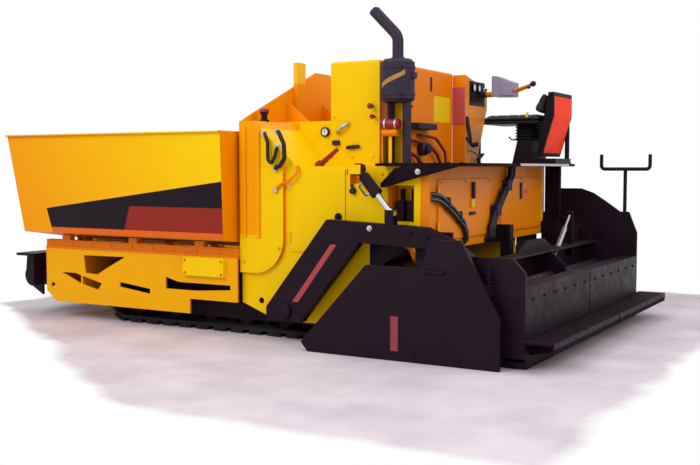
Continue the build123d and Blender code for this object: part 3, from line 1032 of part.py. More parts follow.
with BuildPart() as auger_hanger:
    hanger_half = AUGER_SHAFT_RADIUS
    arm_top_z = TUNNEL_TOP_Z + 10 * PANEL
    rear_x = AUGER_X - hanger_half
    for ends in ((-AUGER_INNER_Y, AUGER_INNER_Y), (AUGER_OUTER_Y, AUGER_OUTER_Y + 2 * PANEL),
                 (-AUGER_OUTER_Y - 2 * PANEL, -AUGER_OUTER_Y)):
        block((rear_x, AUGER_X + hanger_half), ends, (AUGER_Z - hanger_half, arm_top_z))
        block((rear_x, REAR_X), ends, (TUNNEL_TOP_Z, arm_top_z))
save(auger_hanger.part, "auger_hanger")

# Tow arms, from the tow pins up over the tracks and back to the screed
ARM_OUTLINE = ((-230.0, 150.0), (-230.0, 240.0), (-700.0, 830.0), (-1400.0, 800.0), (-1590.0, 720.0),
               (-1700.0, 640.0), (-1700.0, SCREED_FLOOR_Z), (-1600.0, SCREED_FLOOR_Z), (-1600.0, 600.0),
               (-1400.0, 670.0), (-940.0, 690.0), (-545.0, 210.0), (-500.0, 150.0))
with BuildPart() as tow_arms:
    plate_xz(ARM_OUTLINE, (ARM_INNER_Y, ARM_OUTER_Y))
    bar((TOW_PIN_X, ARM_INNER_Y, TOW_PIN_Z), (TOW_PIN_X, ARM_OUTER_Y, TOW_PIN_Z),
        TOW_PIN_RADIUS + RUNNING_GAP, mode=Mode.SUBTRACT)
    arm_pin_half = EYE_WIDTH / 2 + RUNNING_GAP
    for reach in (-arm_pin_half - PANEL / 2, arm_pin_half):
        cheek_y = LIFT_CYLINDER_Y + reach
        block((LIFT_EYE_X - LIFT_EYE_RADIUS, LIFT_EYE_X + LIFT_EYE_RADIUS), (cheek_y, cheek_y + PANEL / 2),
              (LIFT_EYE_Z - 8 * PANEL, LIFT_EYE_Z + PIN_RADIUS + PANEL / 2))
    bar((LIFT_EYE_X, LIFT_CYLINDER_Y - arm_pin_half - PANEL / 2, LIFT_EYE_Z),
        (LIFT_EYE_X, LIFT_CYLINDER_Y + arm_pin_half + PANEL / 2, LIFT_EYE_Z), PIN_RADIUS)
    mirror(about=Plane.XZ)
save(tow_arms.part, "tow_arms")

# Screed body: front wall with its crown beam, cover, end plates and the rods' guides
COVER_TOP_Z = 590.0
COVER_REAR_X = SCREED_FRONT_X - 130.0
GUIDE_REAR_Z = EXTENSION_TOP_Z + 20.0
CROWN_HALF = 350.0
CROWN_HEIGHT = 70.0
with BuildPart() as screed_frame:
    block((SCREED_FRONT_X - PANEL, SCREED_FRONT_X), (-ARM_INNER_Y, ARM_INNER_Y),
          (SCREED_PLATE_Z, COVER_TOP_Z))
    block((COVER_REAR_X, SCREED_FRONT_X), (-ARM_INNER_Y, ARM_INNER_Y), (COVER_TOP_Z - PANEL, COVER_TOP_Z))
    plate_yz(((-CROWN_HALF, COVER_TOP_Z), (-CROWN_HALF / 2, COVER_TOP_Z + CROWN_HEIGHT),
              (CROWN_HALF / 2, COVER_TOP_Z + CROWN_HEIGHT), (CROWN_HALF, COVER_TOP_Z)),
             (SCREED_FRONT_X - 2 * PANEL, SCREED_FRONT_X))
    block((SCREED_REAR_X, SCREED_FRONT_X), (-ARM_INNER_Y, ARM_INNER_Y), (SCREED_PLATE_Z, SCREED_FLOOR_Z))
    guide_outline = ((SCREED_FRONT_X, SCREED_FLOOR_Z), (SCREED_FRONT_X, COVER_TOP_Z),
                     (COVER_REAR_X, COVER_TOP_Z), (SCREED_REAR_X, GUIDE_REAR_Z),
                     (SCREED_REAR_X, SCREED_FLOOR_Z))
    for y in (GUIDE_PLATE_Y, ARM_INNER_Y - PANEL, -GUIDE_PLATE_Y - GUIDE_PLATE, -ARM_INNER_Y, -PANEL / 2):
        plate_xz(guide_outline, (y, y + PANEL))
    for z in SLIDE_ROD_ZS:
        for sign in (1, -1):
            bar((SLIDE_ROD_X, sign * (SLIDE_ROD_INNER_Y - RUNNING_GAP), z),
                (SLIDE_ROD_X, sign * ARM_INNER_Y, z), SLIDE_ROD_RADIUS + RUNNING_GAP, mode=Mode.SUBTRACT)
save(screed_frame.part, "screed_frame")

with BuildPart() as screed_plates:
    plate_xz(((SCREED_FRONT_X, SCREED_PLATE_Z), (SCREED_FRONT_X, SCREED_PLATE_Z * 3 / 4),
              (SCREED_FRONT_X - SCREED_PLATE_Z / 2, 0), (SCREED_REAR_X, 0), (SCREED_REAR_X, SCREED_PLATE_Z)),
             (-SCREED_PLATE_HALF, SCREED_PLATE_HALF))
save(screed_plates.part, "screed_plates")


# Sliding extensions behind the main screed
END_SHOULDER_Z = 560.0
END_TOP_Z = 640.0
END_BEVEL = 80.0


def build_extension(sign):
    """A hollow extension box with its end plate and slide rods."""
    wall = PANEL
    outline = ((EXTENSION_FRONT_X, 0), (EXTENSION_FRONT_X, EXTENSION_TOP_Z - 4 * wall),
               (EXTENSION_FRONT_X - 4 * wall, EXTENSION_TOP_Z), (EXTENSION_REAR_X, EXTENSION_TOP_Z),
               (EXTENSION_REAR_X, 0))
    inside = ((EXTENSION_FRONT_X - wall, SCREED_PLATE_Z),
              (EXTENSION_FRONT_X - wall, EXTENSION_TOP_Z - 5 * wall),
              (EXTENSION_FRONT_X - 5 * wall, EXTENSION_TOP_Z - wall),
              (EXTENSION_REAR_X + wall, EXTENSION_TOP_Z - wall), (EXTENSION_REAR_X + wall, SCREED_PLATE_Z))
    end_plate = ((SCREED_FRONT_X - wall, SCREED_FLOOR_Z), (SCREED_FRONT_X - wall, END_SHOULDER_Z),
                 (SCREED_FRONT_X - END_BEVEL, END_TOP_Z), (EXTENSION_REAR_X + END_BEVEL, END_TOP_Z),
                 (EXTENSION_REAR_X, END_SHOULDER_Z), (EXTENSION_REAR_X, SCREED_FLOOR_Z))
    inner = sign * EXTENSION_INNER_Y
    end = sign * EXTENSION_END_Y
    with BuildPart() as extension:
        plate_xz(outline, (inner, end))
        plate_xz(inside, (inner, end), mode=Mode.SUBTRACT)
        plate_xz(end_plate, (end, end + sign * EXTENSION_END_PLATE))
        for z in SLIDE_ROD_ZS:
            bar((SLIDE_ROD_X, sign * SLIDE_ROD_INNER_Y, z), (SLIDE_ROD_X, end, z), SLIDE_ROD_RADIUS)
    return extension


# Tall side guard on the right end only, which the depth crank stands on
CRANK_X = -1950.0
GUARD_TOP_Z = 995.0
GUARD_FRONT_X = -1430.0
GUARD_SLOPE = ((-1600.0, GUARD_TOP_Z), (-1700.0, 960.0), (-1800.0, 895.0))
CRANK_SEAT_Z = 815.0
CRANK_SEAT_HALF = 35.0
GUARD_OUTLINE = ((GUARD_FRONT_X, END_TOP_Z), (GUARD_FRONT_X, GUARD_TOP_Z), *GUARD_SLOPE,
                 (CRANK_X + CRANK_SEAT_HALF, CRANK_SEAT_Z), (CRANK_X - CRANK_SEAT_HALF, CRANK_SEAT_Z),
                 (EXTENSION_REAR_X, END_TOP_Z + PANEL), (EXTENSION_REAR_X, END_SHOULDER_Z - PANEL),
                 (SCREED_FRONT_X - PANEL, END_SHOULDER_Z - PANEL), (SCREED_FRONT_X - PANEL, END_TOP_Z))
for side, sign in SIDES:
    with BuildPart() as extension:
        add(build_extension(sign).part)
        if sign < 0:
            plate_xz(GUARD_OUTLINE, (-EXTENSION_END_Y, -EXTENSION_END_Y - EXTENSION_END_PLATE))
    save(extension.part, "extension_" + side)

for side, sign in SIDES:
    with BuildPart() as walkway:
        block((TAIL_X, EXTENSION_REAR_X), (sign * EXTENSION_INNER_Y, sign * GATE_INNER_Y),
              (WALKWAY_TOP_Z - PANEL, WALKWAY_TOP_Z))
        block((TAIL_X, TAIL_X + PANEL), (sign * EXTENSION_INNER_Y, sign * GATE_INNER_Y),
              (WALKWAY_TOP_Z - 5 * PANEL, WALKWAY_TOP_Z))
        for y in (EXTENSION_INNER_Y + WALKWAY_RIB_INSET, EXTENSION_END_Y / 2,
                  EXTENSION_END_Y - WALKWAY_RIB_INSET):
            plate_xz(((EXTENSION_REAR_X, WALKWAY_TOP_Z), (TAIL_X, WALKWAY_TOP_Z),
                      (TAIL_X, WALKWAY_TOP_Z - 5 * PANEL), (EXTENSION_REAR_X, WALKWAY_TOP_Z - 9 * PANEL)),
                     (sign * y, sign * (y + PANEL)))
    save(walkway.part, "walkway_" + side)

# End gates, each standing off its extension's end plate
GATE_OUTLINE = ((-600.0, 60.0), (-650.0, 0.0), (-1940.0, 0.0), (-1940.0, 300.0), (-1700.0, 740.0),
                (-1510.0, 740.0), (-1440.0, 570.0), (-1070.0, 570.0))
GATE_LINK_ZS = (200.0, 420.0)
GATE_LINK_X_ENDS = (-1860.0, -1700.0)
for side, sign in SIDES:
    with BuildPart() as end_gate:
        plate_xz(GATE_OUTLINE, (sign * GATE_INNER_Y, sign * GATE_OUTER_Y))
        for z in GATE_LINK_ZS:
            block(GATE_LINK_X_ENDS, (sign * (EXTENSION_END_Y + EXTENSION_END_PLATE), sign * GATE_INNER_Y),
                  (z, z + SILL_TUBE))
    save(end_gate.part, "end_gate_" + side)

# Depth crank on the right extension's side guard
CRANK_Y = -EXTENSION_END_Y - EXTENSION_END_PLATE / 2
CRANK_BAR_Z = 1150.0
CRANK_GRIP_Z = CRANK_BAR_Z + 115.0
CRANK_HALF = 190.0
CRANK_RADIUS = 14.0
with BuildPart() as depth_crank:
    bar((CRANK_X, CRANK_Y, CRANK_SEAT_Z), (CRANK_X, CRANK_Y, CRANK_BAR_Z), CRANK_RADIUS)
    bent_bar(((CRANK_X - CRANK_HALF, CRANK_Y, CRANK_GRIP_Z), (CRANK_X - CRANK_HALF, CRANK_Y, CRANK_BAR_Z),
              (CRANK_X + CRANK_HALF, CRANK_Y, CRANK_BAR_Z), (CRANK_X + CRANK_HALF, CRANK_Y, CRANK_GRIP_Z)),
             2 * CRANK_RADIUS, CRANK_RADIUS)
save(depth_crank.part, "depth_crank")
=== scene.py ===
"""Looks of a small tracked asphalt paver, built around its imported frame."""

import logging
import math
from dataclasses import dataclass, field
from enum import Enum

import bmesh
import bpy
from mathutils import Matrix, Vector


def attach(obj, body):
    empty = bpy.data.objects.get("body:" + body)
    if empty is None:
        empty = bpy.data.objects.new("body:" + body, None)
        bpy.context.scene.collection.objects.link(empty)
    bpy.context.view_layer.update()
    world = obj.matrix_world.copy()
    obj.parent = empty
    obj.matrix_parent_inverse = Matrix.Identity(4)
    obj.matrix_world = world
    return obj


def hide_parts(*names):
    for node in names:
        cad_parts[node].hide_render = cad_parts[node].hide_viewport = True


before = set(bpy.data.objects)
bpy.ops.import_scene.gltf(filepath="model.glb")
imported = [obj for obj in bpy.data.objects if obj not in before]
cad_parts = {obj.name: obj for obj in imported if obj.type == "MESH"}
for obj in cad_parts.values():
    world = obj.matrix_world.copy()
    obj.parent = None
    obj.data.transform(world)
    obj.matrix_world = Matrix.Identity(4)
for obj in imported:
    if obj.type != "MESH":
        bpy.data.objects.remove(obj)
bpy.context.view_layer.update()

LOG = logging.getLogger("paver")
Point = tuple[float, float, float]
Pair = tuple[float, float]
Spot = Point | Vector
Route = tuple[Point, ...]
Outline = tuple[Pair, ...]
Socket = bpy.types.NodeSocket
Tree = bpy.types.NodeTree

REARWARDS: Point = (-1.0, 0.0, 0.0)
FORWARDS: Point = (1.0, 0.0, 0.0)
LEFTWARDS: Point = (0.0, 1.0, 0.0)
UPWARDS: Point = (0.0, 0.0, 1.0)
# A face counts as looking one way when its normal reaches this far that way.
SQUARE_ON = 0.7
# Edges sharper than this are rounded and shaded as edges.
EDGE_DEGREES = 40.0
# A washer's and a hexagon head's radius and height, as shares of the head's width.
WASHER: Pair = (0.72, 0.15)
HEXAGON: Pair = (0.5, 0.65)


class Axis(Enum):
    """The direction that an outline is pushed out along."""

    X = 0
    Y = 1
    Z = 2


class Head(Enum):
    """The width of a bolt's hexagon head, in metres."""

    SMALL = 0.012
    SHOE = 0.013
    PANEL = 0.014
    FRAME = 0.016
    HEAVY = 0.018
    CHEEK = 0.020
    DOOR = 0.024
    PIN = 0.026
    WALL = 0.030


class Side(Enum):
    """A side of the machine, with the sign of its Y."""

    LEFT = 1
    RIGHT = -1

    @property
    def word(self) -> str:
        """The side's word in the names of pieces and bodies."""
        return self.name.lower()

    @property
    def out(self) -> Point:
        """The direction away from the machine's middle."""
        return 0.0, float(self.value), 0.0

    def at(self, x: float, y: float, z: float) -> Point:
        """A place on this side, given as the one on the left."""
        return x, self.value * y, z


def row(start: float, step: float, count: int) -> list[float]:
    """Evenly spaced places along a line."""
    return [start + step * i for i in range(count)]


def circle(sides: int) -> list[Pair]:
    """The corners of a many-sided circle of radius one."""
    return [(math.cos(2 * math.pi * i / sides), math.sin(2 * math.pi * i / sides)) for i in range(sides)]


def shifted(points: Route, x: float = 0.0, y: float = 0.0, z: float = 0.0) -> Route:
    """The same points moved along the three axes."""
    return tuple((a + x, b + y, c + z) for a, b, c in points)


def linear(hex_colour: str) -> tuple[float, float, float, float]:
    """Turn an sRGB hex colour into linear light.

    Args:
        hex_colour: Six hex digits after a hash.

    Returns:
        Red, green, blue and full alpha.
    """
    channels = [int(hex_colour[i:i + 2], 16) / 255 for i in (1, 3, 5)]
    bent = [c / 12.92 if c <= 0.04045 else ((c + 0.055) / 1.055) ** 2.4 for c in channels]
    return bent[0], bent[1], bent[2], 1.0


def add_node(tree: Tree, kind: str, inputs: dict[str | int, object] | None = None,
             **settings: object) -> bpy.types.Node:
    """Add one shader node with its settings, values and links.

    Args:
        tree: The material's node tree.
        kind: The node's type without its ShaderNode prefix.
        inputs: For each socket's name or number, a value or a socket to link from.
        **settings: Attributes of the node.

    Returns:
        The new node.
    """
    node = tree.nodes.new("ShaderNode" + kind)
    for name, value in settings.items():
        setattr(node, name, value)
    for socket, value in (inputs or {}).items():
        if isinstance(value, Socket):
            tree.links.new(value, node.inputs[socket])
        else:
            node.inputs[socket].default_value = value
    return node


def largest(tree: Tree, values: list[Socket]) -> Socket:
    """Find the largest of several values.

    Args:
        tree: The node tree that they are in.
        values: At least one value.

    Returns:
        The largest one.
    """
    top = values[0]
    for value in values[1:]:
        top = add_node(tree, "Math", {0: top, 1: value}, operation="MAXIMUM").outputs[0]
    return top


def put(name: str, data: bpy.types.ID) -> bpy.types.Object:
    """Put a new object into the scene.

    Args:
        name: The object's name.
        data: Its mesh, lamp or camera.

    Returns:
        The object.
    """
    made = bpy.data.objects.new(name, data)
    bpy.context.scene.collection.objects.link(made)
    return made


@dataclass(frozen=True)
class Finish:
    """A surface: its colours, its shader numbers and the size of its marks."""

    name: str
    colour: str
    second_colour: str
    slot: str
    roughness: float = 0.4
    metallic: float = 0.0
    ior: float = 1.5
    mottle_mm: float = 180.0
    mottle_share: float = 0.35
    mottle_from: Pair = (0.42, 0.75)
    grain_mm: float = 3.0
    grain_depth_mm: float = 0.05
    edge_mm: float = 4.0
    uneven: Pair = (0.85, 1.25)

    def noise(self, tree: Tree, place: Socket, size_mm: float, detail: float) -> Socket:
        """Cloudy marks of a real size.

        Args:
            tree: The material's node tree.
            place: The point to look up.
            size_mm: How far apart the marks lie.
            detail: How many finer layers the marks have.

        Returns:
            A value from 0 to 1.
        """
        return add_node(tree, "TexNoise", {"Vector": place, "Scale": 1000.0 / size_mm, "Detail": detail,
                                           "Roughness": 0.55}).outputs["Fac"]

    def tint(self, tree: Tree, place: Socket) -> Socket:
        """Mix the main colour with clouds of the second.

        Args:
            tree: The material's node tree.
            place: The point to look up.

        Returns:
            The colour.
        """
        cloud = self.noise(tree, place, self.mottle_mm, 4.0)
        low, high = self.mottle_from
        share = add_node(tree, "MapRange", {"Value": cloud, "From Min": low, "From Max": high, "To Min": 0.0,
                                            "To Max": self.mottle_share}).outputs["Result"]
        return add_node(tree, "Mix", {"Factor": share, "A": linear(self.colour),
                                      "B": linear(self.second_colour)}, data_type="RGBA").outputs[2]

    def relief(self, tree: Tree, place: Socket) -> Socket:
        """Soften the edges and lay the fine grain on top.

        Args:
            tree: The material's node tree.
            place: The point to look up.

        Returns:
            The normal.
        """
        edges = add_node(tree, "Bevel", {"Radius": self.edge_mm / 1000}, samples=6).outputs["Normal"]
        grain = self.noise(tree, place, self.grain_mm, 2.0)
        return add_node(tree, "Bump", {"Strength": 1.0, "Distance": self.grain_depth_mm / 1000,
                                       "Height": grain, "Normal": edges}).outputs["Normal"]

    def wear(self, tree: Tree, place: Socket) -> Socket:
        """The marks that change the gloss, here where hands and dust have been."""
        return self.noise(tree, place, self.mottle_mm / 3, 3.0)

    def rough(self, tree: Tree, place: Socket) -> Socket:
        """Make the roughness a little uneven.

        Args:
            tree: The material's node tree.
            place: The point to look up.

        Returns:
            The roughness.
        """
        low, high = (min(1.0, self.roughness * share) for share in self.uneven)
        return add_node(tree, "MapRange", {"Value": self.wear(tree, place), "From Min": 0.3, "From Max": 0.7,
                                           "To Min": low, "To Max": high}).outputs["Result"]

    def build(self) -> bpy.types.Material:
        """Make the material once and hand back the same one after that.

        Returns:
            The material.
        """
        made = bpy.data.materials.get(self.name)
        if made:
            return made
        material = bpy.data.materials.new(self.name)
        material.use_nodes = True
        tree = material.node_tree
        shader = tree.nodes["Principled BSDF"]
        place = add_node(tree, "TexCoord").outputs["Object"]
        tree.links.new(self.tint(tree, place), shader.inputs["Base Color"])
        tree.links.new(self.rough(tree, place), shader.inputs["Roughness"])
        tree.links.new(self.relief(tree, place), shader.inputs["Normal"])
        shader.inputs["Metallic"].default_value = self.metallic
        if not self.metallic:
            shader.inputs["IOR"].default_value = self.ior
        return material


@dataclass(frozen=True)
class Mark:
    """A part of a surface that is painted in another colour."""

    colour: str

    def tests(self, tree: Tree, place: Socket) -> list[tuple[Socket, float]]:
        """The values that stay under their limits inside the mark."""
        raise NotImplementedError

    def lay(self, tree: Tree, place: Socket, ground: Socket) -> Socket:
        """Lay the mark over a ground colour.

        Args:
            tree: The material's node tree.
            place: The point to look up.
            ground: The colour outside the mark.

        Returns:
            The colour with the mark on it.
        """
        inside: Socket | float = 1.0
        for value, limit in self.tests(tree, place):
            within = add_node(tree, "Math", {0: value, 1: limit}, operation="LESS_THAN").outputs[0]
            inside = add_node(tree, "Math", {0: inside, 1: within}, operation="MULTIPLY").outputs[0]
        return add_node(tree, "Mix", {"Factor": inside, "A": ground, "B": linear(self.colour)},
                        data_type="RGBA").outputs[2]


@dataclass(frozen=True)
class Stripe(Mark):
    """A band on the outward faces of a side panel, shut in by straight edges seen from the side."""

    edges: Route
    outer_y: float

    def tests(self, tree: Tree, place: Socket) -> list[tuple[Socket, float]]:
        """Measure how far a point is outwards, then its reach past each edge.

        Args:
            tree: The material's node tree.
            place: The point to look up.

        Returns:
            Each value with its limit.
        """
        normal = add_node(tree, "TexCoord").outputs["Normal"]
        turned = add_node(tree, "VectorMath", {0: place, 1: normal}, operation="MULTIPLY").outputs[0]
        found = [(turned, (0.0, -1.0, 0.0), -self.outer_y * SQUARE_ON)]
        found += [(place, (across, 0.0, up), limit) for across, up, limit in self.edges]
        return [(add_node(tree, "VectorMath", {0: vector, 1: along},
                          operation="DOT_PRODUCT").outputs["Value"], limit) for vector, along, limit in found]


@dataclass(frozen=True)
class Patch(Mark):
    """A part of a node between two corners."""

    low: Point
    high: Point

    def tests(self, tree: Tree, place: Socket) -> list[tuple[Socket, float]]:
        """Measure how far a point lies from the patch's middle along each axis.

        Args:
            tree: The material's node tree.
            place: The point to look up.

        Returns:
            Each distance with half the patch's size.
        """
        middle = tuple((a + b) / 2 for a, b in zip(self.low, self.high))
        away = add_node(tree, "VectorMath", {0: place, 1: middle}, operation="SUBTRACT").outputs[0]
        size = add_node(tree, "VectorMath", {0: away}, operation="ABSOLUTE").outputs[0]
        apart = add_node(tree, "SeparateXYZ", {"Vector": size}).outputs
        return [(apart[axis], (high - low) / 2) for axis, low, high in zip("XYZ", self.low, self.high)]


@dataclass(frozen=True)
class MarkedFinish(Finish):
    """A finish with other colours on the rear faces, towards the nose or in marks; the nose's and the rear
    faces' colours are painted shade, except the seat shell's real red-orange back.
    """

    rear_colour: str = ""
    nose_shade_colour: str = ""
    nose_reach: Pair = (-0.5, 1.6)
    nose_way: Point = (1.0, 0.0, -0.5)
    marks: tuple[Mark, ...] = ()

    def tint(self, tree: Tree, place: Socket) -> Socket:
        """Lay the nose's painted shade, the rear faces' colour and the marks over the ground in turn.

        Args:
            tree: The material's node tree.
            place: The point to look up.

        Returns:
            The colour.
        """
        colour = super().tint(tree, place)
        # The colour towards the nose is painted shade.
        if self.nose_shade_colour:
            along = add_node(tree, "VectorMath", {0: place, 1: self.nose_way},
                             operation="DOT_PRODUCT").outputs["Value"]
            share = add_node(tree, "MapRange", {"Value": along, "From Min": self.nose_reach[0],
                                                "From Max": self.nose_reach[1]}).outputs["Result"]
            colour = add_node(tree, "Mix", {"Factor": share, "A": colour, "B": linear(self.nose_shade_colour)},
                              data_type="RGBA").outputs[2]
        # The rear faces' colour is painted shade on all finishes but the seat shell.
        if self.rear_colour:
            normal = add_node(tree, "TexCoord").outputs["Normal"]
            look = add_node(tree, "VectorMath", {0: normal, 1: REARWARDS},
                            operation="DOT_PRODUCT").outputs["Value"]
            back = add_node(tree, "Math", {0: look, 1: SQUARE_ON}, operation="GREATER_THAN").outputs[0]
            colour = add_node(tree, "Mix", {"Factor": back, "A": colour, "B": linear(self.rear_colour)},
                              data_type="RGBA").outputs[2]
        for mark in self.marks:
            colour = mark.lay(tree, place, colour)
        return colour


@dataclass(frozen=True)
class DrawnMetal(Finish):
    """Bare metal with fine lines from rolling, drawing or sliding."""

    line_mm: float = 6.0
    along: Point = (0.04, 1.0, 1.0)
    uneven: Pair = (0.7, 1.4)

    def wear(self, tree: Tree, place: Socket) -> Socket:
        """Lines along one direction, coarser than real ones so that they show."""
        drawn = add_node(tree, "VectorMath", {0: place, 1: self.along}, operation="MULTIPLY").outputs[0]
        return self.noise(tree, drawn, self.line_mm, 3.0)


@dataclass(frozen=True)
class TreadPlate(Finish):
    """Painted walkway plate with rows of raised tears pressed into it."""

    tear_mm: float = 28.0
    tear_depth_mm: float = 1.5
    tear_size: Pair = (1.2, 0.6)
    gap: float = 0.3
    gap_blur: float = 0.6

    def relief(self, tree: Tree, place: Socket) -> Socket:
        """Lay raised tears over the plate, slanted across its length.

        Args:
            tree: The material's node tree.
            place: The point to look up.

        Returns:
            The normal.
        """
        edges = super().relief(tree, place)
        flat = add_node(tree, "VectorMath", {0: place, 1: (1.0, 1.0, 0.0)}, operation="MULTIPLY").outputs[0]
        turned = add_node(tree, "VectorRotate", {"Vector": flat, "Angle": math.pi / 4},
                          rotation_type="Z_AXIS").outputs["Vector"]
        white, black = (1.0, 1.0, 1.0, 1.0), (0.0, 0.0, 0.0, 1.0)
        tears = add_node(tree, "TexBrick", {
            "Vector": turned, "Scale": 1000.0 / self.tear_mm, "Color1": white, "Color2": white,
            "Mortar": black, "Mortar Size": self.gap, "Mortar Smooth": self.gap_blur,
            "Brick Width": self.tear_size[0], "Row Height": self.tear_size[1]}).outputs["Color"]
        return add_node(tree, "Bump", {"Strength": 1.0, "Distance": self.tear_depth_mm / 1000,
                                       "Height": tears, "Normal": edges}).outputs["Normal"]


def between(across: float, up: float, low: float, high: float) -> Route:
    """Two edges that shut a stripe in between two limits."""
    return (-across, -up, -low), (across, up, high)


# Sprayed enamel dries with a shallow wave, which is drawn coarser than it is so that it shows.
SPRAYED: dict[str, float] = {"grain_mm": 9.0, "grain_depth_mm": 0.10}
YELLOW_COAT: dict[str, object] = {"slot": "enamel_yellow", "roughness": 0.34, **SPRAYED}
ORANGE_COAT: dict[str, object] = {"slot": "enamel_orange", "roughness": 0.36, **SPRAYED}
BLACK_COAT: dict[str, object] = {
    "colour": "#1C0F1A", "second_colour": "#2A1828", "slot": "enamel_black", "roughness": 0.46, "ior": 1.2,
    "mottle_mm": 260.0, "grain_mm": 8.0, "grain_depth_mm": 0.12}
BAND_BLACK = "#1B1019"
SHELL_BLACK = "#1A1418"

# Chrome yellow alkyd enamel, sprayed over primed steel plate: glossy, a little wavy.
YELLOW = Finish("yellow_sprayed_enamel", "#F3C000", "#EFB000", ior=1.25, **YELLOW_COAT)
# The same yellow enamel in orange, as painted shade for the shielded rear and inner panels such as the rear
# bulkhead; the small orange pipes and levers take it too.
ORANGE = Finish("orange_enamel_painted_shade", "#EC8600", "#E07400", ior=1.25, **ORANGE_COAT)
# Black chassis enamel with a satin face; dust gives it a faint purple bloom.
BLACK = Finish("black_chassis_enamel", **BLACK_COAT)
# Moulded track rubber, matt and faintly grey with dust.
TRACK = Finish("moulded_track_rubber", "#1A1518", "#332D31", "track_rubber", roughness=0.75, ior=1.3,
               mottle_mm=90.0, grain_mm=4.0, grain_depth_mm=0.35)
# Black rubber moulded over braid, on hoses and bellows: smooth with a faint grain.
HOSE = Finish("braided_hose_rubber", "#17131A", "#26222B", "track_rubber", roughness=0.5, ior=1.35,
              mottle_mm=40.0, grain_mm=2.0, grain_depth_mm=0.15)
# Wear plate and chain steel, rubbed bare and dull.
WORN = DrawnMetal("worn_wear_plate", "#8C8784", "#5D534C", "worn_steel", roughness=0.42, metallic=0.85,
                  mottle_mm=120.0, mottle_share=0.8, grain_mm=5.0, grain_depth_mm=0.2)
# Bright zinc on bolts, pipe ends and hydraulic tube: pale grey with a soft shine.
ZINC = DrawnMetal("zinc_plated_steel", "#BDBAC0", "#98939C", "worn_steel", roughness=0.34, metallic=0.9,
                  mottle_mm=25.0, grain_mm=2.0)
# Hard chrome on ground rod: mirror bright with an oily film.
CHROME = DrawnMetal("hard_chrome_rod", "#D9D9DC", "#B8B8BE", "chrome_rod", roughness=0.10, metallic=1.0,
                    grain_depth_mm=0.01)
# High-heat paint on the exhaust: dull, dark purple-black.
HOT = Finish("high_heat_paint", "#2B2033", "#43364B", "exhaust_steel", roughness=0.55, ior=1.3,
             mottle_mm=70.0, grain_depth_mm=0.2)
# Grey engine enamel over sand-cast iron.
IRON = Finish("sand_cast_iron", "#4A4C50", "#37383B", "engine_iron", roughness=0.6, metallic=0.3,
              grain_mm=4.0, grain_depth_mm=0.5)
# Grey-mauve moulded housing of the steering head.
HOUSING = Finish("moulded_grey_housing", "#8E86A0", "#786F8B", "engine_iron", roughness=0.42, ior=1.4,
                 mottle_mm=60.0, grain_mm=1.5, grain_depth_mm=0.08)
# Black upholstery vinyl with an embossed leather grain.
VINYL = Finish("embossed_seat_vinyl", "#151115", "#231E24", "seat_vinyl", roughness=0.48, ior=1.35,
               mottle_mm=60.0, grain_mm=2.6, grain_depth_mm=0.25)
# Glass-filled plastic seat shell, moulded black round a smooth red-orange back panel.
SHELL = MarkedFinish(
    "moulded_seat_shell", SHELL_BLACK, "#262026", "seat_shell", roughness=0.42, ior=1.15,
    rear_colour="#FA3A06", marks=tuple(
        Patch(SHELL_BLACK, (-1.60, low_y, low_z), (-1.44, high_y, high_z))
        for low_y, high_y, low_z, high_z in (
            (-1.02, -0.58, 1.694, 1.730), (-1.02, -0.58, 1.240, 1.272),
            (-1.02, -1.000, 1.240, 1.730), (-0.606, -0.58, 1.240, 1.730))))
# Dark red moulded phenolic of knobs and lever grips.
GRIP = Finish("phenolic_lever_grip", "#8E1A22", "#74141A", "seat_shell", roughness=0.3, ior=1.4,
              mottle_mm=20.0)
# White dial card under clear plastic.
DIAL = Finish("printed_dial_face", "#E8E4E6", "#DAD5D8", "seat_shell", roughness=0.3, ior=1.4,
              mottle_mm=20.0)
# Tan webbing of the strap that ties the muffler's cover down.
STRAP = Finish("woven_tan_webbing", "#A98743", "#8F6F3A", "exhaust_steel", roughness=0.8, ior=1.4,
               mottle_mm=12.0, grain_mm=1.5, grain_depth_mm=0.3)
# Dusty rose paint on small trim plates.
ROSE = Finish("rose_sprayed_trim", "#C9525C", "#B9474F", "seat_shell", roughness=0.45, ior=1.4)
# Brown-red oxide primer on pipe runs behind the cowl.
BROWN = Finish("red_oxide_primer", "#7A2F1C", "#5C2418", "enamel_orange", roughness=0.55, ior=1.4,
               mottle_mm=40.0)
# Drawn steel tube, blued and oily: dark with a cold sheen.
STEEL_BLUE = DrawnMetal("blued_steel_tube", "#4A5666", "#303846", "worn_steel", roughness=0.3, metallic=0.8,
                        mottle_mm=30.0, grain_mm=2.0)
# Cowl, hood and cabinet enamel: glossy yellow, amber on the cheeks' front parts as painted shade, orange on
# the rear faces as painted shade with one yellow field on the hood, and black low on the cabinets' rear.
COWL_PAINT = MarkedFinish(
    # The orange on the rear faces is painted shade.
    "yellow_enamel_painted_shade_rear", "#F4C900", "#F0B800", ior=1.18, rear_colour="#F08000", **YELLOW_COAT, marks=(
        # The amber on the cheeks' front parts is painted shade.
        Patch("#F2A000", (-0.098, -1.30, 0.70), (0.09, 1.30, 1.481)),
        Patch("#F2C80E", (-0.76, -0.56, 1.51), (-0.74, -0.26, 1.705)),
        Patch(BAND_BLACK, (-1.30, -1.07, 0.12), (-0.93, 1.07, 0.695))))
# Gable plate enamel: glossy orange as painted shade on the shielded plate, also on its rear faces, with the
# small post at the top in yellow.
GABLE_PAINT = MarkedFinish(
    # The orange all over and on the rear faces is painted shade.
    "painted_shade_orange_yellow_post", "#F09400", "#EA8200", ior=1.2, rear_colour="#F29400", **ORANGE_COAT,
    marks=(Patch("#F0C024", (-0.13, 0.295, 1.78), (0.10, 0.415, 1.94)),))
# Console enamel in orange, with the rear faces in orange as painted shade, and grey moulded parts at the
# steering head.
CONSOLE_PAINT = MarkedFinish(
    # The orange on the rear faces is painted shade.
    "orange_enamel_console", "#EC8600", "#E07400", ior=1.25, rear_colour="#F08C00", **ORANGE_COAT,
    marks=(Patch("#8E86A0", (-1.165, -1.0, 1.70), (-0.985, -0.80, 1.90)),))
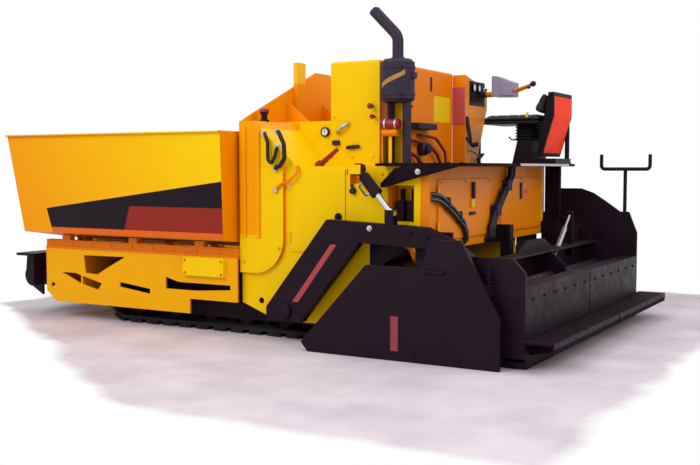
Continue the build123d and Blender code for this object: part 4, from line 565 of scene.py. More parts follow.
# Side frame enamel: amber as painted shade under the wings, a darker orange sill as the wing's painted
# shadow, orange rear faces as painted shade, and the box's cover in yellow.
SKIRT_PAINT = MarkedFinish(
    # The amber ground is painted shade under the wings.
    "side_frame_enamel_painted_shade", "#F0AC00", "#EA9A00", "enamel_yellow", roughness=0.36, ior=1.2,
    # The orange on the rear faces is painted shade.
    rear_colour="#E88A00", **SPRAYED, marks=(
        # The darker orange sill is the painted shadow of the wing.
        Patch("#E07A10", (0.0, -1.16, 0.536), (1.95, 1.16, 0.66)),
        Patch("#F4CA00", (0.175, -1.16, 0.395), (0.545, 1.16, 0.535))))
# Black enamel tread plate of the walkways and the deck: matt with trodden dust.
TREAD = TreadPlate("pressed_tread_plate", "#1A0F18", "#261923", "enamel_black", roughness=0.75, ior=1.14)

WING_SIDE_Y = 1.2
BAND_TIP: Pair = (1.78, 0.855)
BAND_SLOPE = 0.1268
NOSE_FOOT: Pair = (1.73, 0.689)
NOSE_LEAN = 0.30
BAND_TOP: Point = (BAND_SLOPE, 1.0, BAND_TIP[1] + BAND_TIP[0] * BAND_SLOPE)
BAND_FRONT: Point = (1.0, -NOSE_LEAN, NOSE_FOOT[0] - NOSE_FOOT[1] * NOSE_LEAN)
# Wing enamel: glossy yellow that turns orange towards the nose as painted shade, orange on the rear edges as
# painted shade, and on the outer side a black band that ends in red, with an orange foot.
WING_PAINT = MarkedFinish(
    # The orange towards the nose and on the rear edges is painted shade.
    "yellow_enamel_with_side_band", "#F6CE00", "#F2BC00", ior=1.2, nose_shade_colour="#EE9800",
    rear_colour="#F09000", **YELLOW_COAT, marks=(
        Stripe(BAND_BLACK, (BAND_TOP, BAND_FRONT), WING_SIDE_Y),
        Stripe("#8E2A1E", ((0.0, 1.0, 0.885), (1.0, 0.35, 1.25)), WING_SIDE_Y),
        Stripe("#E0641C", ((0.0, 1.0, 0.712), BAND_FRONT), WING_SIDE_Y)))
# Black chassis enamel with one dusty red stripe along each tow arm.
ARM_PAINT = MarkedFinish("black_enamel_with_arm_stripe", **BLACK_COAT, marks=(
    Stripe("#A8484C", between(0.796, 0.605, -0.212, -0.176) + between(0.0, 1.0, 0.285, 0.672), 1.15),))
# Black chassis enamel with one short dusty red stripe upright on each end gate.
GATE_PAINT = MarkedFinish("black_enamel_with_gate_stripe", **BLACK_COAT, marks=(
    Stripe("#963F4E", between(1.0, 0.0, -1.295, -1.245) + between(0.0, 1.0, 0.06, 0.27), 1.3),))

NODE_FINISHES: dict[Finish, tuple[str, ...]] = {
    YELLOW: ("main_frame",),
    SKIRT_PAINT: ("side_frames",),
    COWL_PAINT: ("side_cabinet_left", "side_cabinet_right", "engine_cowl", "engine_hood"),
    WING_PAINT: ("hopper_wing_left", "hopper_wing_right"),
    GABLE_PAINT: ("hopper_bulkhead",),
    ORANGE: ("rear_bulkhead",),
    CONSOLE_PAINT: ("console",),
    BLACK: ("front_apron", "push_beam", "track_frames", "drive_sprockets", "idler_wheels", "track_rollers",
            "guard_rails", "valve_bank", "auger_hanger", "seat_pedestal", "wing_cylinder_left",
            "wing_cylinder_right", "push_roller_left", "push_roller_right", "screed_frame",
            "lift_cylinder_left", "lift_cylinder_right", "extension_left", "extension_right",
            "depth_crank"),
    GATE_PAINT: ("end_gate_left", "end_gate_right"),
    ARM_PAINT: ("tow_arms",),
    TREAD: ("operator_deck", "walkway_left", "walkway_right"),
    TRACK: ("track_left", "track_right"),
    WORN: ("hopper_floor", "conveyor_chains", "auger_left", "auger_right", "screed_plates"),
    CHROME: ("wing_rod_left", "wing_rod_right", "lift_rod_left", "lift_rod_right"),
    HOT: ("muffler", "exhaust_pipe"),
    IRON: ("engine_block", "radiator"),
    SHELL: ("seat_frame",),
    VINYL: ("seat_cushions",),
}


def dress_frame() -> None:
    """Give every node of the frame its finish."""
    for finish, names in NODE_FINISHES.items():
        for name in names:
            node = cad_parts[name]
            node.data.materials.clear()
            node.data.materials.append(finish.build())
    bare = set(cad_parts) - {name for names in NODE_FINISHES.values() for name in names}
    if bare:
        raise ValueError(f"nodes with no finish: {sorted(bare)}")
    LOG.info("dressed %d nodes", len(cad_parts))


def rounded_route(points: list[Vector], bend: float, steps: int = 6, most: float = 0.49) -> list[Vector]:
    """Lay points along straight runs whose corners are round.

    Args:
        points: The corners of the route.
        bend: The radius of each bend.
        steps: How many steps each bend gets.
        most: The largest share of a run that one bend takes up.

    Returns:
        The route from its first point to its last.
    """
    route = [points[0]]
    for before, corner, after in zip(points, points[1:], points[2:]):
        back = (before - corner).normalized()
        ahead = (after - corner).normalized()
        half = back.angle(ahead) / 2
        reach = min(bend / math.tan(half), (before - corner).length * most, (after - corner).length * most)
        radius = reach * math.tan(half)
        centre = corner + (back + ahead).normalized() * (radius / math.sin(half))
        start = corner + back * reach - centre
        end = corner + ahead * reach - centre
        for i in range(steps + 1):
            route.append(centre + start.slerp(end, i / steps).normalized() * radius)
    route.append(points[-1])
    return route


@dataclass
class Piece:
    """A mesh gathered from many small forms that share one finish and one body."""

    name: str
    body: str
    finish: Finish
    mesh: bmesh.types.BMesh = field(default_factory=bmesh.new)

    def skin(self, rings: list[list[Spot]]) -> "Piece":
        """Join rings of corners, one to the next, into a closed form.

        Args:
            rings: Two outlines or more, with as many corners each.

        Returns:
            This piece, ready for its next form.
        """
        made = [[self.mesh.verts.new(corner) for corner in ring] for ring in rings]
        for near, far in zip(made, made[1:]):
            for i in range(len(near)):
                self.mesh.faces.new((near[i - 1], near[i], far[i], far[i - 1]))
        self.mesh.faces.new(made[0][::-1])
        self.mesh.faces.new(made[-1])
        return self

    def prism(self, outline: Outline, axis: Axis, low: float, high: float) -> "Piece":
        """Push a flat outline out along an axis.

        Args:
            outline: Corners in the two other directions, in the order of X, Y, Z.
            axis: The direction to push along.
            low: Where the form starts.
            high: Where it ends.

        Returns:
            This piece, ready for its next form.
        """
        cut = axis.value
        return self.skin([[pair[:cut] + (end,) + pair[cut:] for pair in outline] for end in (low, high)])

    def box(self, low: Point, high: Point) -> "Piece":
        """A plate or block between two opposite corners."""
        corners = ((low[0], low[1]), (high[0], low[1]), (high[0], high[1]), (low[0], high[1]))
        return self.prism(corners, Axis.Z, low[2], high[2])

    def turned(self, profile: Outline, centre: Spot, facing: Spot, sides: int = 28) -> "Piece":
        """Turn a profile round an axis and close it at both ends.

        Args:
            profile: Radius and height of each ring.
            centre: Where the height is nought.
            facing: The way that the height runs.
            sides: How many faces go round.

        Returns:
            This piece, ready for its next form.
        """
        turn = Vector(facing).to_track_quat("Z", "Y")
        return self.skin([[Vector(centre) + turn @ Vector((reach * c, reach * s, height))
                           for c, s in circle(sides)] for reach, height in profile])

    def rod(self, start: Spot, end: Spot, radius: float, end_radius: float | None = None,
            sides: int = 20) -> "Piece":
        """Lay a round, tapered or many-sided bar between two points.

        Args:
            start: The middle of its first end.
            end: The middle of its other end.
            radius: The radius at the start.
            end_radius: The radius at the other end, where it tapers.
            sides: How many faces go round.

        Returns:
            This piece, ready for its next form.
        """
        run = Vector(end) - Vector(start)
        tip = radius if end_radius is None else end_radius
        return self.turned(((radius, 0.0), (tip, run.length)), start, run, sides)

    def bolts(self, places: list[Spot], facing: Point, head: Head) -> "Piece":
        """Set hexagon heads on their washers.

        Args:
            places: The foot of each bolt.
            facing: The way that they look.
            head: The size of their heads.

        Returns:
            This piece, ready for its next form.
        """
        out = Vector(facing).normalized() * head.value
        for place in places:
            base = Vector(place)
            self.rod(base, base + out * WASHER[1], head.value * WASHER[0], sides=16)
            self.rod(base, base + out * HEXAGON[1], head.value * HEXAGON[0], sides=6)
        return self

    def pipe(self, points: Route | list[Spot], radius: float, bend: float, sides: int = 12) -> "Piece":
        """Lay a bent pipe along straight runs with round corners.

        Args:
            points: The corners of the route.
            radius: The pipe's own radius.
            bend: The radius of each bend along the middle.
            sides: How many faces go round the pipe.

        Returns:
            This piece, ready for its next form.
        """
        route = rounded_route([Vector(point) for point in points], bend)
        side = (route[1] - route[0]).orthogonal().normalized()
        rings = []
        for i, centre in enumerate(route):
            ahead = (route[min(i + 1, len(route) - 1)] - route[max(i - 1, 0)]).normalized()
            side = (side - ahead * side.dot(ahead)).normalized()
            other = ahead.cross(side)
            rings.append([centre + radius * (side * c + other * s) for c, s in circle(sides)])
        return self.skin(rings)

    def done(self, bevel: float = 0.0, smooth_degrees: float = EDGE_DEGREES) -> bpy.types.Object:
        """Turn the gathered forms into a piece that rides on its body.

        Args:
            bevel: Width of the rounded edges, or nought for none.
            smooth_degrees: Faces that meet at less than this look smooth.

        Returns:
            The piece.
        """
        bmesh.ops.recalc_face_normals(self.mesh, faces=self.mesh.faces)
        data = bpy.data.meshes.new(self.name)
        self.mesh.to_mesh(data)
        self.mesh.free()
        piece = put(self.name, data)
        data.materials.append(self.finish.build())
        data.shade_smooth()
        data.set_sharp_from_angle(angle=math.radians(smooth_degrees))
        if bevel:
            rounding = piece.modifiers.new("edges", "BEVEL")
            rounding.width = bevel
            rounding.segments = 2
            rounding.limit_method = "ANGLE"
            rounding.angle_limit = math.radians(EDGE_DEGREES)
            rounding.harden_normals = True
        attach(piece, self.body)
        LOG.info("%s: %d faces on %s", self.name, len(data.polygons), self.body)
        return piece


@dataclass(frozen=True)
class Lamp:
    """A square soft lamp that points at a place."""

    name: str
    place: Point
    target: Point
    size: float
    watts: float

    def build(self) -> None:
        """Hang the lamp."""
        data = bpy.data.lights.new(self.name, "AREA")
        data.size = self.size
        data.energy = self.watts
        lamp = put(self.name, data)
        lamp.location = self.place
        lamp.rotation_euler = (Vector(self.target) - Vector(self.place)).to_track_quat("-Z", "Y").to_euler()


@dataclass
class Studio:
    """The floor, the lights and the camera, none of them part of the machine."""

    camera_place: Point = (-4.0164, 6.6084, 1.1597)
    camera_turn: float = 1.0432014
    camera_dip: float = 0.06508501
    camera_reach: float = 200.0
    lens_mm: float = 51.05
    sensor_mm: float = 36.0
    floor_half: float = 60.0
    floor_colour: str = "#C9BDC6"
    floor_light: str = "#DDD3DB"
    floor_edges: tuple[Point, ...] = (
        (0.0, 1.0, 2.95), (-1.0, 0.0, 2.72), (0.548, 0.837, 2.15), (1.0, 0.0, 2.75), (0.0, -1.0, 2.75))
    ragged: float = 0.35
    fade: float = 0.10
    world_strength: float = 0.64
    lamps: tuple[Lamp, ...] = (
        Lamp("key", (2.0, 8.0, 6.0), (0.3, 0.5, 0.8), 5.0, 335.0),
        Lamp("fill", (-7.0, 2.0, 5.0), (-0.8, 0.0, 0.8), 5.0, 205.0),
        Lamp("top", (0.0, -1.0, 8.0), (0.0, 0.0, 0.5), 6.0, 110.0))

    def patch(self, tree: Tree, place: Socket) -> Socket:
        """Mottle the floor round the machine in two lilac greys.

        Args:
            tree: The floor's node tree.
            place: The point to look up.

        Returns:
            The colour.
        """
        cloud = add_node(tree, "TexNoise", {"Vector": place, "Scale": 2.2, "Detail": 8.0}).outputs["Fac"]
        spread = add_node(tree, "MapRange", {"Value": cloud, "From Min": 0.35, "From Max": 0.65})
        return add_node(tree, "Mix", {"Factor": spread.outputs["Result"], "A": linear(self.floor_colour),
                                      "B": linear(self.floor_light)}, data_type="RGBA").outputs[2]

    def past_patch(self, tree: Tree, place: Socket) -> Socket:
        """Tell the patch from what lies past its ragged edges.

        Args:
            tree: The floor's node tree.
            place: The point to look up.

        Returns:
            Nought on the patch and one past it.
        """
        past = []
        for across, along, limit in self.floor_edges:
            side = add_node(tree, "VectorMath", {0: place, 1: (across, along, 0.0)}, operation="DOT_PRODUCT")
            past.append(add_node(tree, "Math", {0: side.outputs["Value"], 1: limit},
                                 operation="SUBTRACT").outputs[0])
        torn = add_node(tree, "TexNoise", {"Vector": place, "Scale": 1.6, "Detail": 4.0}).outputs["Fac"]
        reach = add_node(tree, "Math", {0: torn, 1: self.ragged, 2: largest(tree, past)},
                         operation="MULTIPLY_ADD").outputs[0]
        return add_node(tree, "MapRange", {"Value": reach, "From Min": self.ragged / 2,
                                           "From Max": self.ragged / 2 + self.fade}).outputs["Result"]

    def floor(self) -> None:
        """A wide pale floor: a lilac-grey patch round the machine that turns white further off."""
        half = self.floor_half
        data = bpy.data.meshes.new("floor")
        data.from_pydata([(-half, -half, 0.0), (half, -half, 0.0), (half, half, 0.0), (-half, half, 0.0)],
                         [], [(0, 1, 2, 3)])
        plane = put("floor", data)
        material = bpy.data.materials.new("pale_floor")
        material.use_nodes = True
        tree = material.node_tree
        shader = tree.nodes["Principled BSDF"]
        place = add_node(tree, "TexCoord").outputs["Object"]
        tree.links.new(self.patch(tree, place), shader.inputs["Base Color"])
        shader.inputs["Roughness"].default_value = 0.9
        shader.inputs["Specular IOR Level"].default_value = 0.1
        rays = add_node(tree, "LightPath").outputs
        seen = largest(tree, [rays["Is Camera Ray"], rays["Is Glossy Ray"]])
        share = add_node(tree, "Math", {0: seen, 1: self.past_patch(tree, place)},
                         operation="MULTIPLY").outputs[0]
        white = add_node(tree, "Emission", {"Strength": 1.0}).outputs[0]
        mixed = add_node(tree, "MixShader", {0: share, 1: shader.outputs[0], 2: white}).outputs[0]
        tree.links.new(mixed, tree.nodes["Material Output"].inputs["Surface"])
        data.materials.append(material)

    def world(self) -> None:
        """A white surround that is dimmer as a light than it looks."""
        world = bpy.data.worlds.new("surround")
        world.use_nodes = True
        tree = world.node_tree
        rays = add_node(tree, "LightPath").outputs
        seen = largest(tree, [rays["Is Camera Ray"], rays["Is Glossy Ray"], rays["Is Transmission Ray"]])
        strength = add_node(tree, "MapRange", {"Value": seen, "To Min": self.world_strength,
                                               "To Max": 1.0}).outputs["Result"]
        back = tree.nodes["Background"]
        back.inputs["Color"].default_value = (1.0, 1.0, 1.0, 1.0)
        tree.links.new(strength, back.inputs["Strength"])
        bpy.context.scene.world = world

    def camera(self) -> None:
        """The camera at the photographer's place."""
        data = bpy.data.cameras.new("camera")
        data.lens = self.lens_mm
        data.sensor_width = self.sensor_mm
        data.clip_end = self.camera_reach
        level = math.cos(self.camera_dip)
        ahead = Vector((math.cos(self.camera_turn) * level, -math.sin(self.camera_turn) * level,
                        -math.sin(self.camera_dip)))
        camera = put("camera", data)
        camera.location = self.camera_place
        camera.rotation_euler = ahead.to_track_quat("-Z", "Y").to_euler()
        bpy.context.scene.camera = camera

    def build(self) -> None:
        """Set everything up."""
        self.floor()
        self.world()
        for lamp in self.lamps:
            lamp.build()
        self.camera()
        bpy.context.scene.view_settings.view_transform = "Standard"


@dataclass
class Cushion:
    """A stuffed vinyl cushion with sewn channels, blown up as cloth before it is sewn."""

    name: str
    middle: Point
    size: Point
    lean: float
    channels: int
    taper: float = 0.0
    squareness: int = 7
    rim_power: float = 0.4
    rim_height: float = 0.84
    crown_height: float = 0.16
    waist: float = 0.012
    cap: float = 0.008
    voxel: float = 0.006
    seam_depth: float = 0.005
    seam_half: float = 0.009
    pressure: float = 4.0
    frames: int = 20
    rows: int = 40

    def thick(self, along: float) -> float:
        """Half the pad's thickness at a share of its length from -1 to 1."""
        return self.size[2] / 2 * (1 + self.taper * along)

    def corner(self, face: int, a: float, b: float) -> Point:
        """Find a point of the pad's skin.

        Args:
            face: 1 on the crowned top and -1 on the flat bottom.
            a: The share of its length from -1 to 1.
            b: The share of its width from -1 to 1.

        Returns:
            The point, with the pad flat round the origin.
        """
        long_rim = (1 - abs(a) ** self.squareness) ** self.rim_power
        wide_rim = (1 - abs(b) ** self.squareness) ** self.rim_power
        crown = self.rim_height + self.crown_height * (1 - a * a) * (1 - b * b) if face > 0 else 1.0
        pull_x, pull_y = 1 - self.waist * (1 - b * b), 1 - self.waist * (1 - a * a)
        return (a * pull_x * self.size[0] / 2, b * pull_y * self.size[1] / 2,
                face * self.thick(a) * (long_rim * wide_rim) * crown)

    def shape(self, piece: Piece) -> None:
        """Make a crowned pad whose sides pull in between its corners.

        Args:
            piece: The mesh that takes the pad.
        """
        rows = self.rows
        verts = {}
        for face in (-1, 1):
            for i in range(rows + 1):
                for j in range(rows + 1):
                    if face > 0 and (i in (0, rows) or j in (0, rows)):
                        verts[face, i, j] = verts[-1, i, j]
                        continue
                    verts[face, i, j] = piece.mesh.verts.new(
                        self.corner(face, -1 + 2 * i / rows, -1 + 2 * j / rows))
        for face in (-1, 1):
            for i in range(rows):
                for j in range(rows):
                    ring = (verts[face, i, j], verts[face, i + 1, j], verts[face, i + 1, j + 1],
                            verts[face, i, j + 1])
                    piece.mesh.faces.new(ring if face > 0 else ring[::-1])

    def puff(self, piece: bpy.types.Object) -> None:
        """Blow the pad up as cloth and keep the result.

        Args:
            piece: The pad, lying flat round the origin.
        """
        work = put(self.name + "_work", piece.data.copy())
        remesh = work.modifiers.new("remesh", "REMESH")
        remesh.mode = "VOXEL"
        remesh.voxel_size = self.voxel
        graph = bpy.context.evaluated_depsgraph_get()
        skin = bpy.data.meshes.new_from_object(work.evaluated_get(graph))
        work.modifiers.clear()
        work.data = skin
        cloth = work.modifiers.new("cloth", "CLOTH")
        cloth.settings.use_pressure = True
        cloth.settings.uniform_pressure_force = self.pressure
        cloth.settings.effector_weights.gravity = 0.0
        for step in range(1, self.frames + 1):
            bpy.context.scene.frame_set(step)
        graph = bpy.context.evaluated_depsgraph_get()
        blown = bpy.data.meshes.new_from_object(work.evaluated_get(graph))
        for before, after in zip(skin.vertices, blown.vertices):
            move = after.co - before.co
            if move.length > self.cap:
                after.co = before.co + move * (self.cap / move.length)
            limit = self.thick(2 * after.co.x / self.size[0])
            after.co.z = max(-limit, min(limit, after.co.z))
        bpy.context.scene.frame_set(1)
        bpy.data.objects.remove(work)
        blown.materials.clear()
        blown.materials.append(VINYL.build())
        piece.data = blown

    def sew(self, piece: bpy.types.Object) -> None:
        """Press the channels into the top and set the pad in its place.

        Args:
            piece: The pad, lying flat round the origin.
        """
        half = self.size[0] / 2
        turn = Matrix.Rotation(self.lean, 3, "Y")
        for vertex in piece.data.vertices:
            place = vertex.co
            if place.z > 0:
                along = (place.x / half + 1) / 2 * self.channels
                off = (along - round(along)) * 2 * half / self.channels
                inside = 0 < round(along) < self.channels
                sink = self.seam_depth * math.exp(-(off / self.seam_half) ** 2) if inside else 0.0
                place.z -= sink * min(1.0, place.z / self.thick(place.x / half))
            vertex.co = Vector(self.middle) + turn @ place
        piece.data.shade_smooth()

    def build(self) -> bpy.types.Object:
        """Shape, blow up, sew and place the pad.

        Returns:
            The cushion.
        """
        gathered = Piece(self.name, "seat", VINYL)
        self.shape(gathered)
        piece = gathered.done(smooth_degrees=180.0)
        self.puff(piece)
        self.sew(piece)
        rounder = piece.modifiers.new("rounder", "SUBSURF")
        rounder.levels = rounder.render_levels = 1
        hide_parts("seat_cushions")
        return piece


@dataclass
class SeatDress:
    """The operator's seat: cushions, bellows, piping, levers and screws.

    The Y of levers, knob and screws is measured from the seat's outer side.
    """

    middle_y: float = -0.80
    half_width: float = 0.21
    base_x: Pair = (-1.478, -1.012)
    base_z: Pair = (1.5058, 1.564)
    base_channels: int = 5
    back_place: Pair = (-1.4795, 1.6445)
    back_size: Pair = (0.142, 0.084)
    back_lean: float = 1.1915
    back_channels: int = 2
    back_taper: float = 0.30
    boot_x: Pair = (-1.42, -1.24)
    boot_z: Pair = (1.383, 1.492)
    boot_half: float = 0.14
    boot_cut: float = 0.03
    folds: int = 5
    fold_depth: float = 0.012
    piping_z: float = 1.508
    piping_insets: Point = (0.020, 0.012, 0.004)
    piping_bend: float = 0.03
    thin: float = 0.005
    lever_bends: Pair = (0.012, 0.010)
    slide_lever: Route = ((-1.36, -0.06, 1.489), (-1.36, 0.012, 1.489), (-1.375, 0.012, 1.548))
    recline_lever: Route = ((-1.26, -0.10, 1.376), (-1.21, -0.10, 1.376), (-1.19, -0.10, 1.40))
    knob: Route = ((-1.372, 0.012, 1.54), (-1.382, 0.012, 1.578))
    knob_radii: Pair = (0.011, 0.009)
    screw_inset: float = 0.05
    screws: tuple[Pair, ...] = ((-1.508, 1.33), (-1.535, 1.46))
    shell_way: Point = (-1.0, 0.0, 0.28)

    def cushions(self) -> None:
        """The seat pad and the back pad on the shell's front."""
        low_x, high_x = self.base_x
        low_z, high_z = self.base_z
        width = 2 * self.half_width
        Cushion("seat_base_cushion", ((low_x + high_x) / 2, self.middle_y, (low_z + high_z) / 2),
                (high_x - low_x, width, high_z - low_z), 0.0, self.base_channels).build()
        Cushion("seat_back_cushion", (self.back_place[0], self.middle_y, self.back_place[1]),
                (self.back_size[0], width, self.back_size[1]), self.back_lean, self.back_channels,
                taper=self.back_taper).build()

    def bellows(self) -> None:
        """The folded rubber boot round the seat's stem."""
        low_z, high_z = self.boot_z
        steps = 2 * self.folds
        cut = self.boot_cut
        rings = []
        for i in range(steps + 1):
            inset = self.fold_depth if i % 2 else 0.0
            x0, x1 = self.boot_x[0] + inset, self.boot_x[1] - inset
            y0, y1 = self.middle_y - self.boot_half + inset, self.middle_y + self.boot_half - inset
            rings.append([(x, y, low_z + (high_z - low_z) * i / steps) for x, y in (
                (x0 + cut, y0), (x1 - cut, y0), (x1, y0 + cut), (x1, y1 - cut), (x1 - cut, y1),
                (x0 + cut, y1), (x0, y1 - cut), (x0, y0 + cut))])
        Piece("seat_bellows", "seat", HOSE).skin(rings).done(smooth_degrees=20.0)

    def trims(self) -> None:
        """The piping round the pan, the slide and recline levers and the shell's screws."""
        outer, inner = self.middle_y + self.half_width, self.middle_y - self.half_width
        at_rear, at_front, at_side = self.piping_insets
        rear, front = self.base_x[0] + at_rear, self.base_x[1] - at_front
        left, right = outer - at_side, inner + at_side
        around = [(x, y, self.piping_z) for x, y in (
            (rear, left), (front, left), (front, right), (rear, right))]
        Piece("seat_pan_piping", "seat", VINYL).pipe(around, self.thin, self.piping_bend).done()
        levers = Piece("seat_levers", "seat", BLACK)
        levers.pipe(shifted(self.slide_lever, y=outer), self.thin, self.lever_bends[0])
        levers.pipe(shifted(self.recline_lever, y=outer), self.thin, self.lever_bends[1]).done()
        start, end = shifted(self.knob, y=outer)
        Piece("seat_lever_knobs", "seat", YELLOW).rod(start, end, *self.knob_radii).done(bevel=0.002)
        places = [(x, y, z) for y in (inner + self.screw_inset, outer - self.screw_inset)
                  for x, z in self.screws]
        Piece("seat_shell_screws", "seat", ZINC).bolts(places, self.shell_way, Head.SMALL).done()

    def build(self) -> None:
        """Make every piece of the seat."""
        self.cushions()
        self.bellows()
        self.trims()


@dataclass
class SideDress:
    """Bolts of the side frames and of the track shoes."""

    sill_x: Pair = (0.24, 1.86)
    sill_y: float = 1.112
    sill_z: float = 0.575
    sill_bolts: int = 9
    cover_x: Pair = (0.20, 0.52)
    cover_y: float = 1.148
    cover_z: Pair = (0.42, 0.51)
    shoes: int = 34
    wheel_x: Pair = (-0.82, 1.18)
    wheel_z: float = 0.25
    shoe_radius: float = 0.236
    track_y: Pair = (0.665, 1.021)

    def frame_bolts(self, side: Side) -> None:
        """Set bolts along the sill and at the corners of the cover box.

        Args:
            side: The side to dress.
        """
        low, high = self.sill_x
        sill = row(low, (high - low) / (self.sill_bolts - 1), self.sill_bolts)
        # The bolts take the orange that paints the shade under the wing along the sill.
        bolts = Piece(f"side_frame_bolts_{side.word}", "root", ORANGE)
        bolts.bolts([side.at(x, self.sill_y, self.sill_z) for x in sill], side.out, Head.FRAME)
        bolts.bolts([side.at(x, self.cover_y, z) for x in self.cover_x for z in self.cover_z], side.out,
                    Head.PANEL).done()

    def shoe_place(self, share: float) -> Pair:
        """Find a place on the loop of shoes.

        Args:
            share: How far round the loop it lies, from 0 to 1.

        Returns:
            Its X and Z.
        """
        rear, front = self.wheel_x
        reach = self.shoe_radius
        straight, bend = front - rear, math.pi * reach
        travel = share * 2 * (straight + bend)
        if travel < straight:
            return rear + travel, self.wheel_z + reach
        travel -= straight
        if travel < bend:
            turn = travel / reach
            return front + reach * math.sin(turn), self.wheel_z + reach * math.cos(turn)
        travel -= bend
        if travel < straight:
            return front - travel, self.wheel_z - reach
        turn = (travel - straight) / reach
        return rear - reach * math.sin(turn), self.wheel_z - reach * math.cos(turn)

    def shoe_bolts(self, side: Side) -> None:
        """Set a bolt at each end of every track shoe.

        Args:
            side: The side to dress.
        """
        bolts = Piece(f"track_shoe_bolts_{side.word}", "root", TRACK)
        spots = [self.shoe_place((i + 0.5) / self.shoes) for i in range(self.shoes)]
        for y, way in zip(self.track_y, (-1, 1)):
            bolts.bolts([side.at(x, y, z) for x, z in spots], side.at(0.0, way, 0.0), Head.SHOE)
        bolts.done()

    def build(self) -> None:
        """Dress both sides."""
        for side in Side:
            self.frame_bolts(side)
            self.shoe_bolts(side)


@dataclass
class CabinetDress:
    """Doors, latches, fillers and piping on the side cabinets.

    A pipe's size is its own radius and the radius of its bends, here and in the classes below.
    """

    panel_y: float = 1.060
    cheek_y: float = 1.088
    door_y: float = 1.066
    door_x: Pair = (-0.75, -0.33)
    door_z: Pair = (0.60, 1.15)
    hinge_inset: float = 0.10
    hinge_gap: Pair = (0.008, 0.002)
    hinge_half: float = 0.035
    hinge_radius: float = 0.009
    latch_inset: float = 0.05
    latch_z: float = 0.84
    latch_rise: float = 0.010
    latch_radii: Pair = (0.028, 0.025)
    grip_rise: float = 0.022
    grip_half: float = 0.008
    grip_z: Pair = (0.79, 0.85)
    stud: Pair = (-0.320, 1.040)
    cheek_bolts: tuple[Pair, ...] = ((-0.245, 1.04), (-0.245, 0.62), (0.045, 1.30), (0.045, 0.52))
    panel_bolt_x: Point = (-0.80, -1.02, -1.275)
    panel_bolt_z: Pair = (0.70, 1.12)
    neck_place: Point = (-0.013, 0.92, 1.479)
    cap_place: Point = (-0.013, 0.92, 1.545)
    neck_profile: Outline = (
        (0.034, 0.0), (0.034, 0.014), (0.022, 0.018), (0.022, 0.052), (0.030, 0.055), (0.030, 0.066))
    cap_profile: Outline = ((0.033, 0.0), (0.034, 0.010), (0.030, 0.022), (0.016, 0.028))
    front_loop: Route = (
        (-0.130, 1.080, 1.392), (-0.150, 1.112, 1.392), (-0.176, 1.116, 1.330), (-0.178, 1.116, 1.215),
        (-0.205, 1.116, 1.185), (-0.235, 1.116, 1.235), (-0.245, 1.112, 1.290), (-0.245, 1.080, 1.300))
    rear_loop: Route = (
        (-0.235, 1.080, 1.400), (-0.262, 1.113, 1.400), (-0.306, 1.115, 1.320), (-0.312, 1.115, 1.225),
        (-0.275, 1.114, 1.175), (-0.235, 1.112, 1.160), (-0.225, 1.080, 1.150))
    feed: Route = (
        (-0.376, 1.055, 1.170), (-0.392, 1.090, 1.165), (-0.400, 1.092, 1.130), (-0.340, 1.100, 1.075),
        (-0.270, 1.102, 1.050), (-0.235, 1.102, 1.020), (-0.225, 1.080, 1.010))
    low_pipe: Route = (
        (-0.985, 1.055, 0.706), (-0.995, 1.086, 0.706), (-1.160, 1.086, 0.700), (-1.240, 1.086, 0.662),
        (-1.268, 1.086, 0.600), (-1.270, 1.055, 0.575))
    front_loop_size: Pair = (0.012, 0.030)
    rear_loop_size: Pair = (0.015, 0.035)
    feed_size: Pair = (0.009, 0.030)
    low_pipe_size: Pair = (0.019, 0.035)
    fitting_y: Pair = (1.087, 1.104)
    fitting_radius: float = 0.019

    def door(self, side: Side) -> None:
        """Hang the hinge barrels at the door's front edge and a turn latch at its rear edge.

        Args:
            side: The side to dress.
        """
        hinges = Piece(f"cabinet_hinges_{side.word}", "root", YELLOW)
        x, y = self.door_x[1] + self.hinge_gap[0], self.door_y + self.hinge_gap[1]
        for z in (self.door_z[0] + self.hinge_inset, self.door_z[1] - self.hinge_inset):
            hinges.rod(side.at(x, y, z - self.hinge_half), side.at(x, y, z + self.hinge_half),
                       self.hinge_radius, sides=14)
        hinges.done()
        latch = Piece(f"cabinet_latch_{side.word}", "root", BLACK)
        x, y = self.door_x[0] + self.latch_inset, self.door_y
        latch.rod(side.at(x, y, self.latch_z), side.at(x, y + self.latch_rise, self.latch_z),
                  *self.latch_radii)
        latch.box(side.at(x - self.grip_half, y, self.grip_z[0]),
                  side.at(x + self.grip_half, y + self.grip_rise, self.grip_z[1]))
        latch.done(bevel=0.002)

    def bolts(self, side: Side) -> None:
        """Set the stud by the door and the bolts of the cheek and the panel.

        Args:
            side: The side to dress.
        """
        x, z = self.stud
        Piece(f"cabinet_stud_{side.word}", "root", ZINC).bolts(
            [side.at(x, self.panel_y, z)], side.out, Head.DOOR).done()
        bolts = Piece(f"cabinet_bolts_{side.word}", "root", YELLOW)
        bolts.bolts([side.at(x, self.cheek_y, z) for x, z in self.cheek_bolts], side.out, Head.CHEEK)
        bolts.bolts([side.at(x, self.panel_y, z) for x in self.panel_bolt_x for z in self.panel_bolt_z],
                    side.out, Head.PANEL).done()

    def filler(self, side: Side) -> None:
        """Stand the filler neck with its red cap on the cabinet's top.

        Args:
            side: The side to dress.
        """
        for name, finish, profile, place in (("neck", BLACK, self.neck_profile, self.neck_place),
                                             ("cap", GRIP, self.cap_profile, self.cap_place)):
            Piece(f"filler_{name}_{side.word}", "root", finish).turned(
                profile, side.at(*place), UPWARDS).done()

